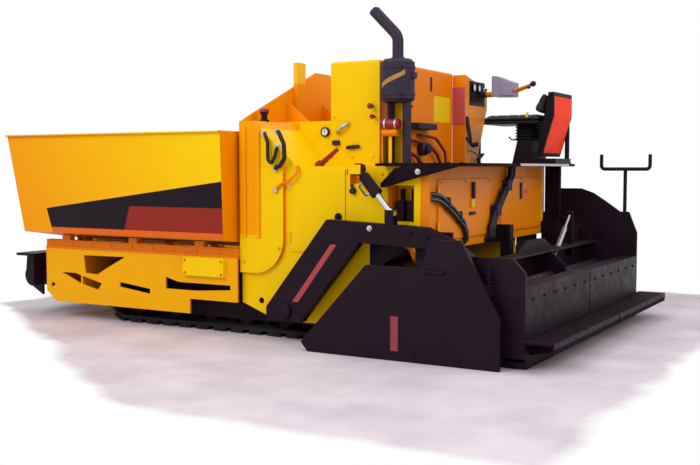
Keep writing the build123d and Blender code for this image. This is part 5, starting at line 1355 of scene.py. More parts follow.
    def hoses(self) -> None:
        """The two black loops, the orange pipes and the fittings of the left cabinet."""
        loops = Piece("cheek_hose_loops", "root", HOSE)
        loops.pipe(self.front_loop, *self.front_loop_size)
        loops.pipe(self.rear_loop, *self.rear_loop_size).done()
        Piece("cheek_feed_pipe", "root", ORANGE).pipe(self.feed, *self.feed_size).done()
        Piece("cabinet_low_pipe", "root", ORANGE).pipe(self.low_pipe, *self.low_pipe_size, sides=16).done()
        fittings = Piece("cheek_hose_fittings", "root", ZINC)
        near, far = self.fitting_y
        for route in (self.front_loop, self.rear_loop):
            for x, _, z in (route[0], route[-1]):
                fittings.rod((x, near, z), (x, far, z), self.fitting_radius, sides=6)
        x, _, z = self.feed[-1]
        fittings.rod((x, near, z), (x, far, z), self.fitting_radius, sides=6).done()

    def build(self) -> None:
        """Dress both cabinets."""
        for side in Side:
            self.door(side)
            self.bolts(side)
            self.filler(side)
        self.hoses()


@dataclass
class LeftStation:
    """Gauge, levers, air cleaner and fittings by the cowl's left side.

    The Y of the elbow, the clip and the bar is measured from the cowl's side.
    """

    side_y: float = 0.600
    gauge: Pair = (-0.32, 1.412)
    rim_profile: Outline = ((0.033, -0.002), (0.035, 0.020), (0.031, 0.026), (0.027, 0.026), (0.025, 0.019))
    dial_rise: float = 0.021
    dial_radius: float = 0.0245
    needle: Route = ((-0.322, 0.020, 1.404), (-0.318, 0.023, 1.430))
    elbow: Route = ((-0.415, -0.01, 1.405), (-0.430, 0.030, 1.410), (-0.475, 0.032, 1.445),
                    (-0.500, 0.030, 1.462), (-0.512, -0.01, 1.468))
    elbow_size: Pair = (0.013, 0.020)
    clip: Route = ((-0.435, -0.002, 1.318), (-0.385, 0.030, 1.352))
    bar: Route = ((-0.50, 0.02, 1.300), (-0.60, 0.02, 1.308))
    bar_radius: float = 0.013
    bar_foot: Route = ((-0.56, -0.002, 1.290), (-0.54, 0.02, 1.318))
    lever: Route = ((-0.420, 0.850, 1.175), (-0.565, 0.850, 1.285))
    lever_radii: Pair = (0.020, 0.014)
    lever_hub: Route = ((-0.405, 0.850, 1.168), (-0.435, 0.850, 1.190))
    hub_radius: float = 0.030
    stem_y: Pair = (-0.002, 0.030)
    stem_radius: float = 0.008
    knob_y: float = 0.028
    knob_ends: Pair = (0.006, 0.010)
    knob_rise: Point = (0.008, 0.024, 0.032)
    knobs: Route = ((-0.700, 1.582, 0.020), (-0.715, 1.510, 0.016))
    cleaner_place: Point = (-0.795, 0.655, 1.455)
    cleaner_profile: Outline = ((0.030, 0.0), (0.036, 0.008), (0.036, 0.130), (0.030, 0.140))
    cleaner_bands: Pair = (-0.825, -0.905)
    band_width: float = 0.012
    band_radius: float = 0.0385
    clip_block: Route = ((-0.870, 0.650, 1.425), (-0.860, 0.660, 1.400))
    pipe_place: Point = (-0.800, 0.650, 1.398)
    pipe_profile: Outline = ((0.020, 0.0), (0.026, 0.006), (0.026, 0.105), (0.020, 0.112))
    pipe_neck: Route = ((-0.850, 0.650, 1.398), (-0.850, 0.655, 1.430))
    neck_radius: float = 0.012
    stand: tuple[Route, ...] = (((-0.868, 0.640, 1.190), (-0.838, 0.646, 1.385)),
                                ((-0.910, 0.552, 1.376), (-0.800, 0.650, 1.382)))
    stay_block: Route = ((-0.800, 1.059, 1.115), (-0.775, 1.084, 1.150))
    stay: Route = ((-0.788, 1.075, 1.130), (-0.812, 1.075, 1.012))
    stay_radius: float = 0.009
    stay_foot: Route = ((-0.812, 1.058, 1.010), (-0.812, 1.092, 1.010))
    foot_radii: Pair = (0.021, 0.018)

    def dial(self) -> None:
        """A round gauge with a pale dial behind a dark rim."""
        x, z = self.gauge
        centre, face = (x, self.side_y, z), (x, self.side_y + self.dial_rise, z)
        Piece("side_gauge_rim", "root", HOT).turned(self.rim_profile, centre, LEFTWARDS).done()
        Piece("side_gauge_dial", "root", DIAL).rod(centre, face, self.dial_radius).done()
        Piece("side_gauge_needle", "root", BLACK).box(*shifted(self.needle, y=self.side_y)).done()

    def fittings(self) -> None:
        """The pale elbow, the hose clip, the dark bar, the drain lever and the two knobs."""
        elbow = Piece("side_pipe_elbow", "root", ZINC)
        elbow.pipe(shifted(self.elbow, y=self.side_y), *self.elbow_size).done()
        dark = Piece("side_clip_and_bar", "root", HOT)
        dark.box(*shifted(self.clip, y=self.side_y))
        dark.rod(*shifted(self.bar, y=self.side_y), self.bar_radius)
        dark.box(*shifted(self.bar_foot, y=self.side_y)).done(bevel=0.003)
        lever = Piece("drain_lever", "root", GRIP).rod(*self.lever, *self.lever_radii)
        lever.rod(*self.lever_hub, self.hub_radius).done(bevel=0.003)
        knobs = Piece("side_knobs", "root", GRIP)
        (inner, outer), (low, high, top) = self.knob_ends, self.knob_rise
        near, far = (self.side_y + y for y in self.stem_y)
        for x, z, reach in self.knobs:
            knobs.rod((x, near, z), (x, far, z), self.stem_radius)
            knobs.turned(((inner, 0.0), (reach, low), (reach, high), (outer, top)),
                         (x, self.side_y + self.knob_y, z), LEFTWARDS)
        knobs.done()

    def air_cleaner(self) -> None:
        """The dark red cleaner with its orange pipe between the muffler's legs."""
        Piece("air_cleaner", "root", GRIP).turned(self.cleaner_profile, self.cleaner_place, REARWARDS).done()
        pipe = Piece("air_pipe", "root", ORANGE).turned(self.pipe_profile, self.pipe_place, REARWARDS)
        pipe.rod(*self.pipe_neck, self.neck_radius).done()
        legs = Piece("air_cleaner_stand", "root", YELLOW)
        for low, high in self.stand:
            legs.box(low, high)
        legs.done(bevel=0.001)
        clips = Piece("air_cleaner_clips", "root", ZINC)
        _, y, z = self.cleaner_place
        for x in self.cleaner_bands:
            clips.rod((x, y, z), (x - self.band_width, y, z), self.band_radius)
        clips.box(*self.clip_block).done()

    def door_stay(self) -> None:
        """The dark stay on the cabinet's rear part."""
        stay = Piece("cabinet_door_stay", "root", HOT).box(*self.stay_block)
        stay.rod(*self.stay, self.stay_radius).rod(*self.stay_foot, *self.foot_radii).done(bevel=0.002)

    def build(self) -> None:
        """Make every piece on the left of the cowl."""
        self.dial()
        self.fittings()
        self.air_cleaner()
        self.door_stay()


@dataclass
class MufflerDress:
    """Bands, strap, stand plates and the clip by the exhaust pipe."""

    x: float = -0.890
    y: float = 0.600
    radius: float = 0.115
    bands: Pair = (1.655, 1.835)
    band_half: Pair = (0.012, 0.010)
    band_rise: Pair = (0.0003, 0.004)
    bolt_shift: Pair = (-0.085, 0.090)
    bolt_way: Point = (-0.7, 0.7, 0.0)
    collar_z: Pair = (1.889, 1.905)
    collar_radii: Pair = (0.050, 0.044)
    strap_ends: Route = ((-0.818, 0.700, 1.708), (-0.985, 0.676, 1.800))
    strap_half: float = 0.016
    strap_rise: Pair = (0.0004, 0.004)
    strap_steps: int = 14
    stand: tuple[Route, ...] = (((-0.940, 0.540, 1.190), (-0.790, 0.546, 1.640)),
                                ((-0.794, 0.546, 1.190), (-0.788, 0.640, 1.420)))
    clip: Route = ((-1.030, 0.585, 1.755), (-0.998, 0.625, 1.800))

    def clamps(self) -> None:
        """The two bands with their bolts and the collar at the pipe's foot."""
        bands = Piece("muffler_bands", "root", HOT)
        inner, outer = (self.radius + rise for rise in self.band_rise)
        wide, narrow = self.band_half
        for z in self.bands:
            bands.turned(((inner, -wide), (outer, -narrow), (outer, narrow), (inner, wide)),
                         (self.x, self.y, z), UPWARDS, sides=48)
            bands.bolts([(self.x + self.bolt_shift[0], self.y + self.bolt_shift[1], z)], self.bolt_way,
                        Head.FRAME)
        low, high = self.collar_z
        bands.rod((self.x, self.y, low), (self.x, self.y, high), *self.collar_radii, sides=32).done()

    def strap(self) -> None:
        """The webbing strap that climbs round the muffler."""
        low, high = (Vector(end) for end in self.strap_ends)
        near, far = self.strap_rise
        half = self.strap_half
        rings = []
        for i in range(self.strap_steps + 1):
            spot = low.lerp(high, i / self.strap_steps)
            out = Vector((spot.x - self.x, spot.y - self.y, 0.0)).normalized()
            rim = Vector((self.x, self.y, spot.z)) + out * self.radius
            rings.append([rim + out * rise + Vector((0.0, 0.0, up)) for rise, up in (
                (near, -half), (far, -half), (far, half), (near, half))])
        Piece("muffler_strap", "root", STRAP).skin(rings).done()

    def build(self) -> None:
        """Make the bands, the strap, the plates and the clip."""
        self.clamps()
        self.strap()
        stand = Piece("muffler_stand_plates", "root", YELLOW)
        for low, high in self.stand:
            stand.box(low, high)
        stand.done(bevel=0.001)
        Piece("muffler_clip", "root", HOT).box(*self.clip).done(bevel=0.004)


@dataclass
class CowlDress:
    """Bolts, latch, handle, louvres and rear pipework of the cowl and hood.

    The X of what sits on the rear is measured from the rear face.
    """

    rear_x: float = -0.750
    side_y: float = 0.600
    latch: Route = ((-0.006, -0.222, 1.735), (0.0005, -0.196, 1.842))
    handle: Route = ((0.002, 0.30, 1.60), (-0.035, 0.30, 1.60), (-0.035, 0.16, 1.60), (0.002, 0.16, 1.60))
    handle_size: Pair = (0.008, 0.015)
    lid_bolt_x: Pair = (-0.72, -0.39)
    lid_bolt_z: float = 1.515
    cowl_row: tuple[float, float, int] = (-0.70, 0.165, 5)
    cowl_bolt_z: float = 1.235
    louvres: int = 7
    louvre_step: float = 0.030
    louvre_x: Pair = (-0.66, -0.45)
    louvre: Outline = ((-0.600, 1.600), (-0.610, 1.596), (-0.600, 1.614))
    trays: tuple[Route, ...] = (((-0.090, -0.140, 1.440), (0.001, 0.170, 1.485)),
                                ((-0.050, 0.330, 1.395), (0.001, 0.420, 1.425)))
    line_bend: float = 0.05
    lines: tuple[tuple[float, Route], ...] = (
        (0.013, ((0.002, 0.16, 1.36), (-0.035, 0.16, 1.36), (-0.040, -0.10, 1.33), (-0.040, -0.24, 1.26),
                 (-0.040, -0.30, 1.189))),
        (0.011, ((0.002, 0.02, 1.40), (-0.045, 0.02, 1.40), (-0.050, -0.20, 1.38), (-0.050, -0.36, 1.28),
                 (-0.050, -0.38, 1.189))),
        (0.015, ((0.002, 0.34, 1.30), (-0.030, 0.34, 1.30), (-0.040, 0.10, 1.24), (-0.040, 0.04, 1.189))))
    pump: Pair = (-0.02, 1.30)
    pump_profile: Outline = ((0.045, 0.0), (0.050, 0.01), (0.050, 0.05), (0.034, 0.06), (0.034, 0.085))

    def hood_parts(self) -> None:
        """The dark latch on the hood's rear, the grab handle, the lid bolts and the louvres."""
        Piece("hood_latch", "hood", HOT).box(*shifted(self.latch, x=self.rear_x)).done(bevel=0.003)
        handle = Piece("hood_handle", "hood", BLACK)
        handle.pipe(shifted(self.handle, x=self.rear_x), *self.handle_size).done()
        bolts = Piece("hood_bolts", "hood", YELLOW)
        for side in Side:
            bolts.bolts([side.at(x, self.side_y, self.lid_bolt_z) for x in self.lid_bolt_x], side.out,
                        Head.SMALL)
        bolts.done()
        vents = Piece("hood_louvres", "hood", YELLOW)
        for rise in row(0.0, self.louvre_step, self.louvres):
            vents.prism(tuple((y, z + rise) for y, z in self.louvre), Axis.X, *self.louvre_x)
        vents.done()

    def cowl_parts(self) -> None:
        """Bolts along the cowl, and the black trays, the brown lines and the pump on its rear."""
        bolts = Piece("cowl_bolts", "root", YELLOW)
        for side in Side:
            bolts.bolts([side.at(x, self.side_y, self.cowl_bolt_z) for x in row(*self.cowl_row)], side.out,
                        Head.PANEL)
        bolts.done()
        trays = Piece("cowl_rear_tray", "root", HOT)
        for tray in self.trays:
            trays.box(*shifted(tray, x=self.rear_x))
        trays.done(bevel=0.006)
        lines = Piece("cowl_rear_lines", "root", BROWN)
        for radius, route in self.lines:
            lines.pipe(shifted(route, x=self.rear_x), radius, self.line_bend)
        lines.done()
        y, z = self.pump
        Piece("cowl_rear_pump", "root", HOT).turned(self.pump_profile, (self.rear_x, y, z), REARWARDS).done()

    def build(self) -> None:
        """Dress the cowl and the hood."""
        self.hood_parts()
        self.cowl_parts()


@dataclass
class DashDress:
    """Instruments, switches, levers and the steering head of the console.

    The X of what sits on the plate is measured from the console's rear face.
    """

    rear_x: float = -0.860
    plate: Route = ((-0.006, -0.98, 1.655), (0.0005, -0.68, 1.845))
    dial_y: Pair = (-0.745, -0.845)
    dial_z: float = 1.795
    dial_x: Pair = (-0.006, -0.0175)
    dial_radius: float = 0.0275
    rim_profile: Outline = ((0.036, 0.0), (0.037, 0.012), (0.033, 0.016), (0.029, 0.016), (0.028, 0.011))
    switches: int = 5
    switch_step: float = -0.05
    switch: Route = ((-0.014, -0.732, 1.685), (-0.005, -0.708, 1.722))
    lock: Route = ((-0.006, -0.935, 1.79), (-0.020, -0.935, 1.79))
    lock_radius: float = 0.013
    key: Route = ((-0.045, -0.937, 1.782), (-0.020, -0.933, 1.798))
    trim: Route = ((-0.858, -0.601, 1.500), (-0.752, -0.595, 1.790))
    seal: Route = ((-0.7605, -0.640, 1.190), (-0.7515, -0.600, 1.884))
    cover: Outline = ((-1.158, 1.722), (-1.060, 1.722), (-1.060, 1.858), (-1.158, 1.836))
    cover_y: Pair = (-0.983, -0.817)
    long_lever: Route = ((-1.157, -0.860, 1.765), (-1.330, -0.830, 1.812))
    short_lever: Route = ((-1.157, -0.940, 1.765), (-1.250, -0.950, 1.800))
    lever_radii: Pair = (0.011, 0.009)
    knob_radii: Pair = (0.022, 0.017)
    knob_way: Point = (-1.0, 0.0, 0.3)
    knob_shape: Outline = ((0.55, -1.0), (1.0, -0.3), (1.0, 0.4), (0.5, 1.0))
    column: Pair = (-0.90, 1.747)
    column_profile: Outline = ((0.034, 0.0), (0.032, 0.012), (0.026, 0.016), (0.030, 0.028), (0.024, 0.034),
                               (0.028, 0.046), (0.0225, 0.056))
    stay_top: Point = (-0.862, -0.625, 1.560)
    stay_low: Point = (-0.905, -0.625, 1.330)
    stay_knee: Point = (-0.905, -0.625, 1.335)
    stay_heel: Point = (-0.960, -0.625, 1.345)
    stay_brace: Point = (-0.858, -0.625, 1.400)
    stay_radii: Pair = (0.016, 0.013)
    heel_radii: Pair = (0.020, 0.018)
    brace_radius: float = 0.010
    arm_radius: float = 0.009
    pedal_arm: Route = ((-0.862, -0.72, 1.30), (-0.930, -0.72, 1.255))
    pedal: Outline = ((-0.915, 1.215), (-0.965, 1.270), (-0.957, 1.276), (-0.907, 1.221))
    pedal_y: Pair = (-0.76, -0.68)

    def panel(self) -> None:
        """The black instrument plate with dials, switches and a key, and the trim beside it."""
        plate = Piece("dash_plate", "root", BLACK).box(*shifted(self.plate, x=self.rear_x))
        near, far = (self.rear_x + x for x in self.dial_x)
        for y in self.dial_y:
            plate.turned(self.rim_profile, (near, y, self.dial_z), REARWARDS)
        for y in row(0.0, self.switch_step, self.switches):
            plate.box(*shifted(self.switch, x=self.rear_x, y=y))
        plate.done(bevel=0.002)
        dials = Piece("dash_dials", "root", DIAL)
        for y in self.dial_y:
            dials.rod((near, y, self.dial_z), (far, y, self.dial_z), self.dial_radius)
        dials.done()
        key = Piece("dash_key", "root", CHROME).rod(*shifted(self.lock, x=self.rear_x), self.lock_radius)
        key.box(*shifted(self.key, x=self.rear_x)).done()
        Piece("dash_side_trim", "root", ROSE).box(*self.trim).done(bevel=0.002)
        Piece("dash_seal", "root", ORANGE).box(*self.seal).done()

    def head(self) -> None:
        """The grey cover on the steering head, its levers and knobs, and the column's boot."""
        Piece("steering_head_cover", "root", HOUSING).prism(
            self.cover, Axis.Y, *self.cover_y).done(bevel=0.012)
        rods = Piece("steering_levers", "root", ORANGE)
        knobs = Piece("steering_lever_knobs", "root", HOT)
        levers = (self.long_lever, self.short_lever)
        for lever, radius, reach in zip(levers, self.lever_radii, self.knob_radii):
            rods.rod(*lever, radius)
            knobs.turned(tuple((wide * reach, high * reach) for wide, high in self.knob_shape), lever[1],
                         self.knob_way)
        rods.done()
        knobs.done()
        y, z = self.column
        Piece("dash_column_boot", "root", HOT).turned(
            self.column_profile, (self.rear_x, y, z), REARWARDS).done()

    def pedals(self) -> None:
        """The slanted dark stay below the dash and the foot pedal."""
        stay = Piece("dash_stay", "root", HOT).rod(self.stay_top, self.stay_low, *self.stay_radii)
        stay.rod(self.stay_knee, self.stay_heel, *self.heel_radii)
        stay.rod(self.stay_brace, self.stay_knee, self.brace_radius).done(bevel=0.002)
        pedal = Piece("foot_pedal", "root", WORN).rod(*self.pedal_arm, self.arm_radius)
        pedal.prism(self.pedal, Axis.Y, *self.pedal_y).done(bevel=0.0015)

    def build(self) -> None:
        """Make every piece of the console."""
        self.panel()
        self.head()
        self.pedals()


@dataclass
class DeckDress:
    """Edge trim, step fasteners and rail feet of the operator's deck."""

    rear_x: float = -1.600
    trim: Route = ((-0.005, -0.900, 1.171), (0.0005, 0.150, 1.189))
    step_y: float = 1.120
    stud: Pair = (-1.300, 1.135)
    step_bolt: Pair = (-1.110, 1.120)
    deck_y: float = 1.02
    deck_z: float = 1.190
    left_row: tuple[float, float, int] = (-1.10, -0.09, 6)
    right_row: tuple[float, float, int] = (-0.85, -0.14, 6)
    feet_x: Pair = (-1.540, -0.790)
    foot: Pair = (-1.042, 1.1902)
    foot_profile: Outline = ((0.036, 0.0), (0.036, 0.006), (0.022, 0.010), (0.0185, 0.018))

    def build(self) -> None:
        """Make the trim, the step's and the deck's bolts and the rail's feet."""
        Piece("deck_edge_trim", "root", ZINC).box(*shifted(self.trim, x=self.rear_x)).done(bevel=0.0015)
        (stud_x, stud_z), (bolt_x, bolt_z) = self.stud, self.step_bolt
        Piece("step_stud", "root", ZINC).bolts([(stud_x, self.step_y, stud_z)], LEFTWARDS, Head.PIN).done()
        bolts = Piece("deck_bolts", "root", BLACK)
        bolts.bolts([(bolt_x, self.step_y, bolt_z)], LEFTWARDS, Head.HEAVY)
        for side, along in ((Side.LEFT, self.left_row), (Side.RIGHT, self.right_row)):
            bolts.bolts([side.at(x, self.deck_y, self.deck_z) for x in row(*along)], UPWARDS, Head.SMALL)
        bolts.done()
        feet = Piece("rail_feet", "root", BLACK)
        y, z = self.foot
        for x in self.feet_x:
            feet.turned(self.foot_profile, (x, y, z), UPWARDS)
        feet.done()


@dataclass
class RearWallDress:
    """Door furniture, pipes and rubber deflectors behind the tractor.

    The X of what sits on the doors is measured from their face.
    """

    wall_x: float = -1.350
    door_x: float = -1.362
    handles: tuple[Route, ...] = (((-0.010, -0.515, 0.925), (0.0005, -0.478, 1.050)),
                                  ((-0.022, 0.405, 0.955), (0.0005, 0.435, 1.065)),
                                  ((-0.014, 0.380, 0.845), (0.0005, 0.470, 0.865)))
    latch: Route = ((-0.012, 0.395, 0.895), (0.0005, 0.450, 0.950))
    plate: Route = ((-0.002, -0.640, 0.965), (0.0005, -0.570, 1.000))
    hinge_y: float = 0.955
    hinge_z: Pair = (0.78, 1.00)
    hinge_half: float = 0.04
    hinge_gap: float = 0.004
    hinge_radius: float = 0.008
    bolt_y: Point = (0.14, 0.53, 0.92)
    bolt_z: Pair = (0.715, 1.071)
    wall_bolt: Pair = (-0.045, 0.735)
    sunk: float = 0.002
    heavy_gap: float = 0.026
    heavy_bend: float = 0.045
    heavy_run: Outline = ((-0.270, 1.1705), (-0.262, 1.105), (0.030, 0.850), (0.110, 0.740), (0.112, 0.665))
    heavy_end: Pair = (0.112, 0.658)
    heavy_lines: tuple[Pair, ...] = ((0.0, 0.021), (0.050, 0.018))
    thin_gap: float = 0.020
    thin_size: Pair = (0.013, 0.040)
    thin_start: Pair = (1.030, 0.965)
    thin_run: Outline = ((1.020, 0.962), (0.940, 0.945), (0.760, 0.865), (0.600, 0.775), (0.540, 0.690))
    thin_end: Pair = (0.535, 0.655)
    thin_lift: Pair = (0.0, 0.034)
    thin_clamp: Route = ((-0.036, -0.012, -0.032), (0.0005, 0.012, 0.048))
    thin_clamps: tuple[Pair, ...] = ((0.850, 0.925), (0.665, 0.830))
    heavy_clamp: Route = ((-0.050, -0.008, -0.045), (0.0005, 0.075, 0.030))
    heavy_clamps: tuple[Pair, ...] = ((-0.190, 1.040), (0.010, 0.870))
    sheet: Route = ((-1.2945, 0.602, 0.370), (-1.2905, 1.055, 0.700))

    def doors(self) -> None:
        """Handles, a latch, hinges, bolts and one bare plate on the two rear doors."""
        dark = Piece("rear_door_handles", "root", HOT)
        for handle in self.handles:
            dark.box(*shifted(handle, x=self.door_x))
        dark.done(bevel=0.004)
        latch = Piece("rear_door_latches", "root", YELLOW).box(*shifted(self.latch, x=self.door_x))
        for side in Side:
            for z in self.hinge_z:
                low, high = (side.at(self.door_x - self.hinge_gap, self.hinge_y, z + rise)
                             for rise in (-self.hinge_half, self.hinge_half))
                latch.rod(low, high, self.hinge_radius, sides=14)
        latch.done(bevel=0.002)
        Piece("rear_bare_plate", "root", ROSE).box(*shifted(self.plate, x=self.door_x)).done()
        # The bolts take the orange of the rear faces, which is painted shade.
        screws = Piece("rear_door_bolts", "root", ORANGE)
        for side in Side:
            screws.bolts([side.at(self.door_x, y, z) for y in self.bolt_y for z in self.bolt_z], REARWARDS,
                         Head.SMALL)
        y, z = self.wall_bolt
        screws.bolts([(self.wall_x, y, z)], REARWARDS, Head.WALL).done()

    def pipes(self) -> None:
        """Hydraulic lines clamped to the wall, two heavy ones and two thin ones."""
        into_wall = self.wall_x + self.sunk
        heavy = Piece("rear_heavy_lines", "root", HOSE)
        route = [(self.door_x - self.heavy_gap, y, z) for y, z in self.heavy_run]
        route.append((into_wall, *self.heavy_end))
        for shift, radius in self.heavy_lines:
            heavy.pipe(shifted(route, y=shift), radius, self.heavy_bend, sides=14)
        heavy.done()
        thin = Piece("rear_thin_lines", "root", STEEL_BLUE)
        route = [(into_wall, *self.thin_start)]
        route += [(self.door_x - self.thin_gap, y, z) for y, z in self.thin_run]
        route.append((into_wall, *self.thin_end))
        for lift in self.thin_lift:
            thin.pipe(shifted(route, z=lift), *self.thin_size)
        thin.done()
        clamps = Piece("rear_line_clamps", "root", HOT)
        for clamp, places in ((self.thin_clamp, self.thin_clamps), (self.heavy_clamp, self.heavy_clamps)):
            for y, z in places:
                clamps.box(*shifted(clamp, self.door_x, y, z))
        clamps.done(bevel=0.004)

    def deflectors(self) -> None:
        """Rubber sheets that close the corners over the augers."""
        low, high = self.sheet
        for side in Side:
            Piece(f"auger_deflector_{side.word}", "root", TRACK).box(
                side.at(*low), side.at(*high)).done(bevel=0.001)

    def build(self) -> None:
        """Dress the rear wall."""
        self.doors()
        self.pipes()
        self.deflectors()


@dataclass
class ArmDress:
    """Pins, bolts, curtains and cylinder parts along the tow arms."""

    outer_y: float = 1.220
    pin: Pair = (-0.380, 0.220)
    cap_gap: float = 0.0125
    cap_profile: Outline = ((0.050, 0.0), (0.052, 0.006), (0.046, 0.012), (0.020, 0.014))
    stud: Pair = (-1.017, 0.783)
    bolt_places: tuple[Pair, ...] = ((-1.300, 0.765), (-1.420, 0.745))
    curtain: Route = ((-1.600, 1.1445, 0.300), (-1.300, 1.1495, 0.700))
    lift_base: Point = (-0.920, 1.185, 1.150)
    lift_run: Pair = (-0.6484637, -0.76124)
    lift_barrel: float = 0.205
    gland: Pair = (0.026, 0.002)
    gland_radius: float = 0.0395
    port_along: Pair = (0.075, 0.160)
    port_foot: float = 0.030
    port_rise: float = 0.024
    port_radius: float = 0.011
    line_rise: float = 0.016
    line_ends: Pair = (0.014, 0.006)
    line_size: Pair = (0.006, 0.010)

    def arm_parts(self, side: Side) -> None:
        """Dress an arm with its pin's cap, its bolts and the rubber curtain behind it.

        Args:
            side: The side to dress.
        """
        x, z = self.pin
        Piece(f"tow_pin_cap_{side.word}", "screed", BLACK).turned(
            self.cap_profile, side.at(x, self.outer_y + self.cap_gap, z), side.out).done()
        x, z = self.stud
        Piece(f"tow_arm_stud_{side.word}", "screed", ZINC).bolts(
            [side.at(x, self.outer_y, z)], side.out, Head.PIN).done()
        Piece(f"tow_arm_bolts_{side.word}", "screed", BLACK).bolts(
            [side.at(x, self.outer_y, z) for x, z in self.bolt_places], side.out, Head.HEAVY).done()
        low, high = self.curtain
        Piece(f"tow_arm_curtain_{side.word}", "screed", TRACK).box(
            side.at(*low), side.at(*high)).done(bevel=0.001)

    def lift_parts(self, side: Side) -> None:
        """Dress a lift cylinder with its gland, its two ports and its steel line.

        Args:
            side: The side to dress.
        """
        body = f"lift_barrel_{side.word}"
        base = Vector(side.at(*self.lift_base))
        run = Vector((self.lift_run[0], 0.0, self.lift_run[1]))
        across = Vector((run.z, 0.0, -run.x))
        low, high = (base + run * (self.lift_barrel - inset) for inset in self.gland)
        Piece(f"lift_gland_{side.word}", body, BLACK).rod(
            low, high, self.gland_radius, sides=32).done(bevel=0.003)
        ports = Piece(f"lift_ports_{side.word}", body, ZINC)
        feet = [base + run * along - across * self.port_foot for along in self.port_along]
        upper, lower = (foot - across * self.port_rise for foot in feet)
        for foot, tip in zip(feet, (upper, lower)):
            ports.rod(foot, tip, self.port_radius, sides=6)
        ports.done()
        away = across * self.line_rise
        start, end = self.line_ends
        Piece(f"lift_line_{side.word}", body, STEEL_BLUE).pipe(
            [lower, lower - away, upper - away + run * start, upper + run * end], *self.line_size).done()

    def build(self) -> None:
        """Dress both arms and lift cylinders."""
        for side in Side:
            self.arm_parts(side)
            self.lift_parts(side)


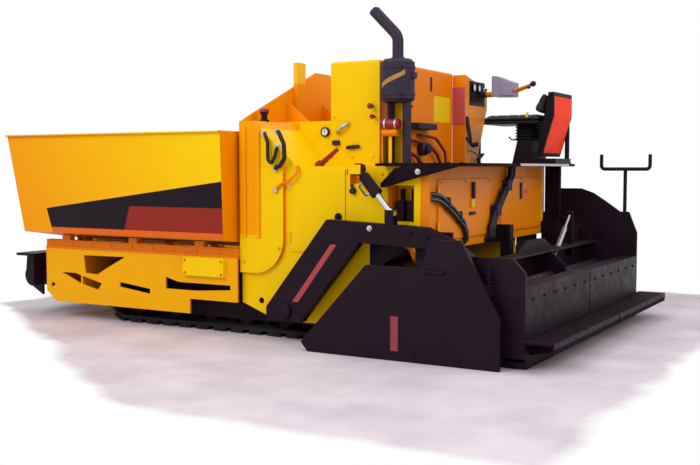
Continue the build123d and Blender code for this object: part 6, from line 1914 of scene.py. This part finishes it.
@dataclass
class ScreedDress:
    """Turnbuckle, bolts, walkway edges and gate fittings of the screed."""

    end_y: float = 1.250
    gate_y: float = 1.370
    rear_x: float = -2.050
    towers: tuple[Route, ...] = (((-1.700, -0.735, 0.500), (-1.6525, -0.711, 0.830)),
                                 ((-1.700, -0.300, 0.420), (-1.6525, -0.280, 0.500)))
    turnbuckle: Route = ((-1.676, -0.705, 0.800), (-1.676, -0.296, 0.468))
    turnbuckle_radius: float = 0.009
    turnbuckle_parts: tuple[Point, ...] = ((0.30, 0.70, 0.019), (0.25, 0.29, 0.016), (0.71, 0.75, 0.016))
    end_bolt_x: Point = (-1.72, -1.86, -2.00)
    end_bolt_z: Pair = (0.12, 0.40)
    rear_row: tuple[float, float, int] = (0.12, 0.20, 6)
    wall_bolt_z: float = 0.40
    walkway_shift: Pair = (-0.03, 0.05)
    walkway_z: float = 0.180
    edge: Route = ((-2.2535, 0.012, 0.150), (-2.2495, 1.336, 0.1825))
    skid_bolt_x: tuple[float, ...] = (-0.80, -1.10, -1.40, -1.70, -1.88)
    skid_bolt_z: float = 0.045
    handle_x: Pair = (-1.46, -1.60)
    handle_y: Pair = (-0.002, 0.018)
    handle_z: float = 0.55
    handle_size: Pair = (0.007, 0.010)
    spring_x: Pair = (-1.74, -1.84)
    spring_gap: float = 0.045
    guide_z: Pair = (0.42, 0.62)
    guide_radius: float = 0.007
    wire_size: Pair = (0.0035, 0.0010)
    spring_z: float = 0.44
    spring_length: float = 0.13
    spring_radius: float = 0.017
    spring_turns: int = 7
    spring_steps: int = 14

    def centre(self) -> None:
        """The pale turnbuckle between its two brackets."""
        brackets = Piece("screed_tower", "screed", BLACK)
        for low, high in self.towers:
            brackets.box(low, high)
        brackets.done(bevel=0.003)
        start, end = (Vector(point) for point in self.turnbuckle)
        silver = Piece("screed_turnbuckle", "screed", ZINC).rod(start, end, self.turnbuckle_radius)
        for near, far, radius in self.turnbuckle_parts:
            silver.rod(start.lerp(end, near), start.lerp(end, far), radius, sides=6)
        silver.done()

    def end_bolts(self, side: Side) -> None:
        """Bolt the extension's end plate, its rear wall and the walkway, and edge the walkway.

        Args:
            side: The side to dress.
        """
        body = f"slide_{side.word}"
        bolts = Piece(f"extension_bolts_{side.word}", body, BLACK)
        bolts.bolts([side.at(x, self.end_y, z) for x in self.end_bolt_x for z in self.end_bolt_z], side.out,
                    Head.FRAME)
        wide = row(*self.rear_row)
        bolts.bolts([side.at(self.rear_x, y, self.wall_bolt_z) for y in wide], REARWARDS, Head.PANEL)
        back, over = self.walkway_shift
        bolts.bolts([side.at(self.rear_x + back, y + over, self.walkway_z) for y in wide], UPWARDS,
                    Head.SMALL).done()
        low, high = self.edge
        Piece(f"walkway_edge_{side.word}", body, BLACK).box(side.at(*low), side.at(*high)).done(bevel=0.001)

    def gate_parts(self, side: Side) -> None:
        """Dress an end gate with skid bolts, a lifting handle and two guide springs.

        Args:
            side: The side to dress.
        """
        body = f"slide_{side.word}"
        Piece(f"gate_bolts_{side.word}", body, BLACK).bolts(
            [side.at(x, self.gate_y, self.skid_bolt_z) for x in self.skid_bolt_x], side.out,
            Head.FRAME).done()
        (front, rear), (near, far) = self.handle_x, (self.gate_y + y for y in self.handle_y)
        grip = [side.at(x, y, self.handle_z) for x, y in (
            (front, near), (front, far), (rear, far), (rear, near))]
        Piece(f"gate_handle_{side.word}", body, BLACK).pipe(grip, *self.handle_size).done()
        springs = Piece(f"gate_springs_{side.word}", body, BLACK)
        steps = self.spring_turns * self.spring_steps
        low, high = self.guide_z
        for x in self.spring_x:
            foot = Vector(side.at(x, self.end_y + self.spring_gap, self.spring_z))
            springs.rod((x, foot.y, low), (x, foot.y, high), self.guide_radius)
            coil = []
            for i in range(steps + 1):
                turn = 2 * math.pi * i / self.spring_steps
                round_x, round_y = math.cos(turn) * self.spring_radius, math.sin(turn) * self.spring_radius
                coil.append(foot + Vector((round_x, round_y, self.spring_length * i / steps)))
            springs.pipe(coil, *self.wire_size, sides=6)
        springs.done()

    def build(self) -> None:
        """Dress the screed."""
        self.centre()
        for side in Side:
            self.end_bolts(side)
            self.gate_parts(side)


@dataclass
class FrontDress:
    """Push beam bolts, roller caps and wing cylinder glands."""

    beam_x: float = 2.040
    beam_row: tuple[float, float, int] = (0.18, 0.26, 4)
    beam_z: float = 0.43
    roller_end: Point = (2.165, 1.060, 0.300)
    cap_profile: Outline = ((0.050, 0.0), (0.048, 0.008), (0.020, 0.010))
    wing_base: Point = (1.640, 0.860, 0.222)
    wing_run: Point = (0.0, 0.3686757, 0.9295581)
    wing_barrel: float = 0.334
    gland: Pair = (0.030, 0.002)
    gland_radius: float = 0.0395

    def build(self) -> None:
        """Make the bolts, the caps and the glands."""
        bolts = Piece("push_beam_bolts", "root", ZINC)
        for side in Side:
            bolts.bolts([side.at(self.beam_x, y, self.beam_z) for y in row(*self.beam_row)], FORWARDS,
                        Head.HEAVY)
        bolts.done()
        for side in Side:
            Piece(f"roller_cap_{side.word}", f"roller_{side.word}", WORN).turned(
                self.cap_profile, side.at(*self.roller_end), side.out).done()
            base, run = Vector(side.at(*self.wing_base)), Vector(side.at(*self.wing_run))
            low, high = (base + run * (self.wing_barrel - inset) for inset in self.gland)
            Piece(f"wing_gland_{side.word}", f"wing_barrel_{side.word}", BLACK).rod(
                low, high, self.gland_radius, sides=32).done(bevel=0.003)


def main() -> None:
    """Build the studio, dress the frame and add the pieces."""
    logging.basicConfig(level=logging.INFO, format="%(name)s: %(message)s")
    Studio().build()
    dress_frame()
    for assembly in (SeatDress(), SideDress(), CabinetDress(), LeftStation(), MufflerDress(), CowlDress(),
                     DashDress(), DeckDress(), RearWallDress(), ArmDress(), ScreedDress(), FrontDress()):
        assembly.build()
        LOG.info("%s done", type(assembly).__name__)


if __name__ == "__main__":
    main()
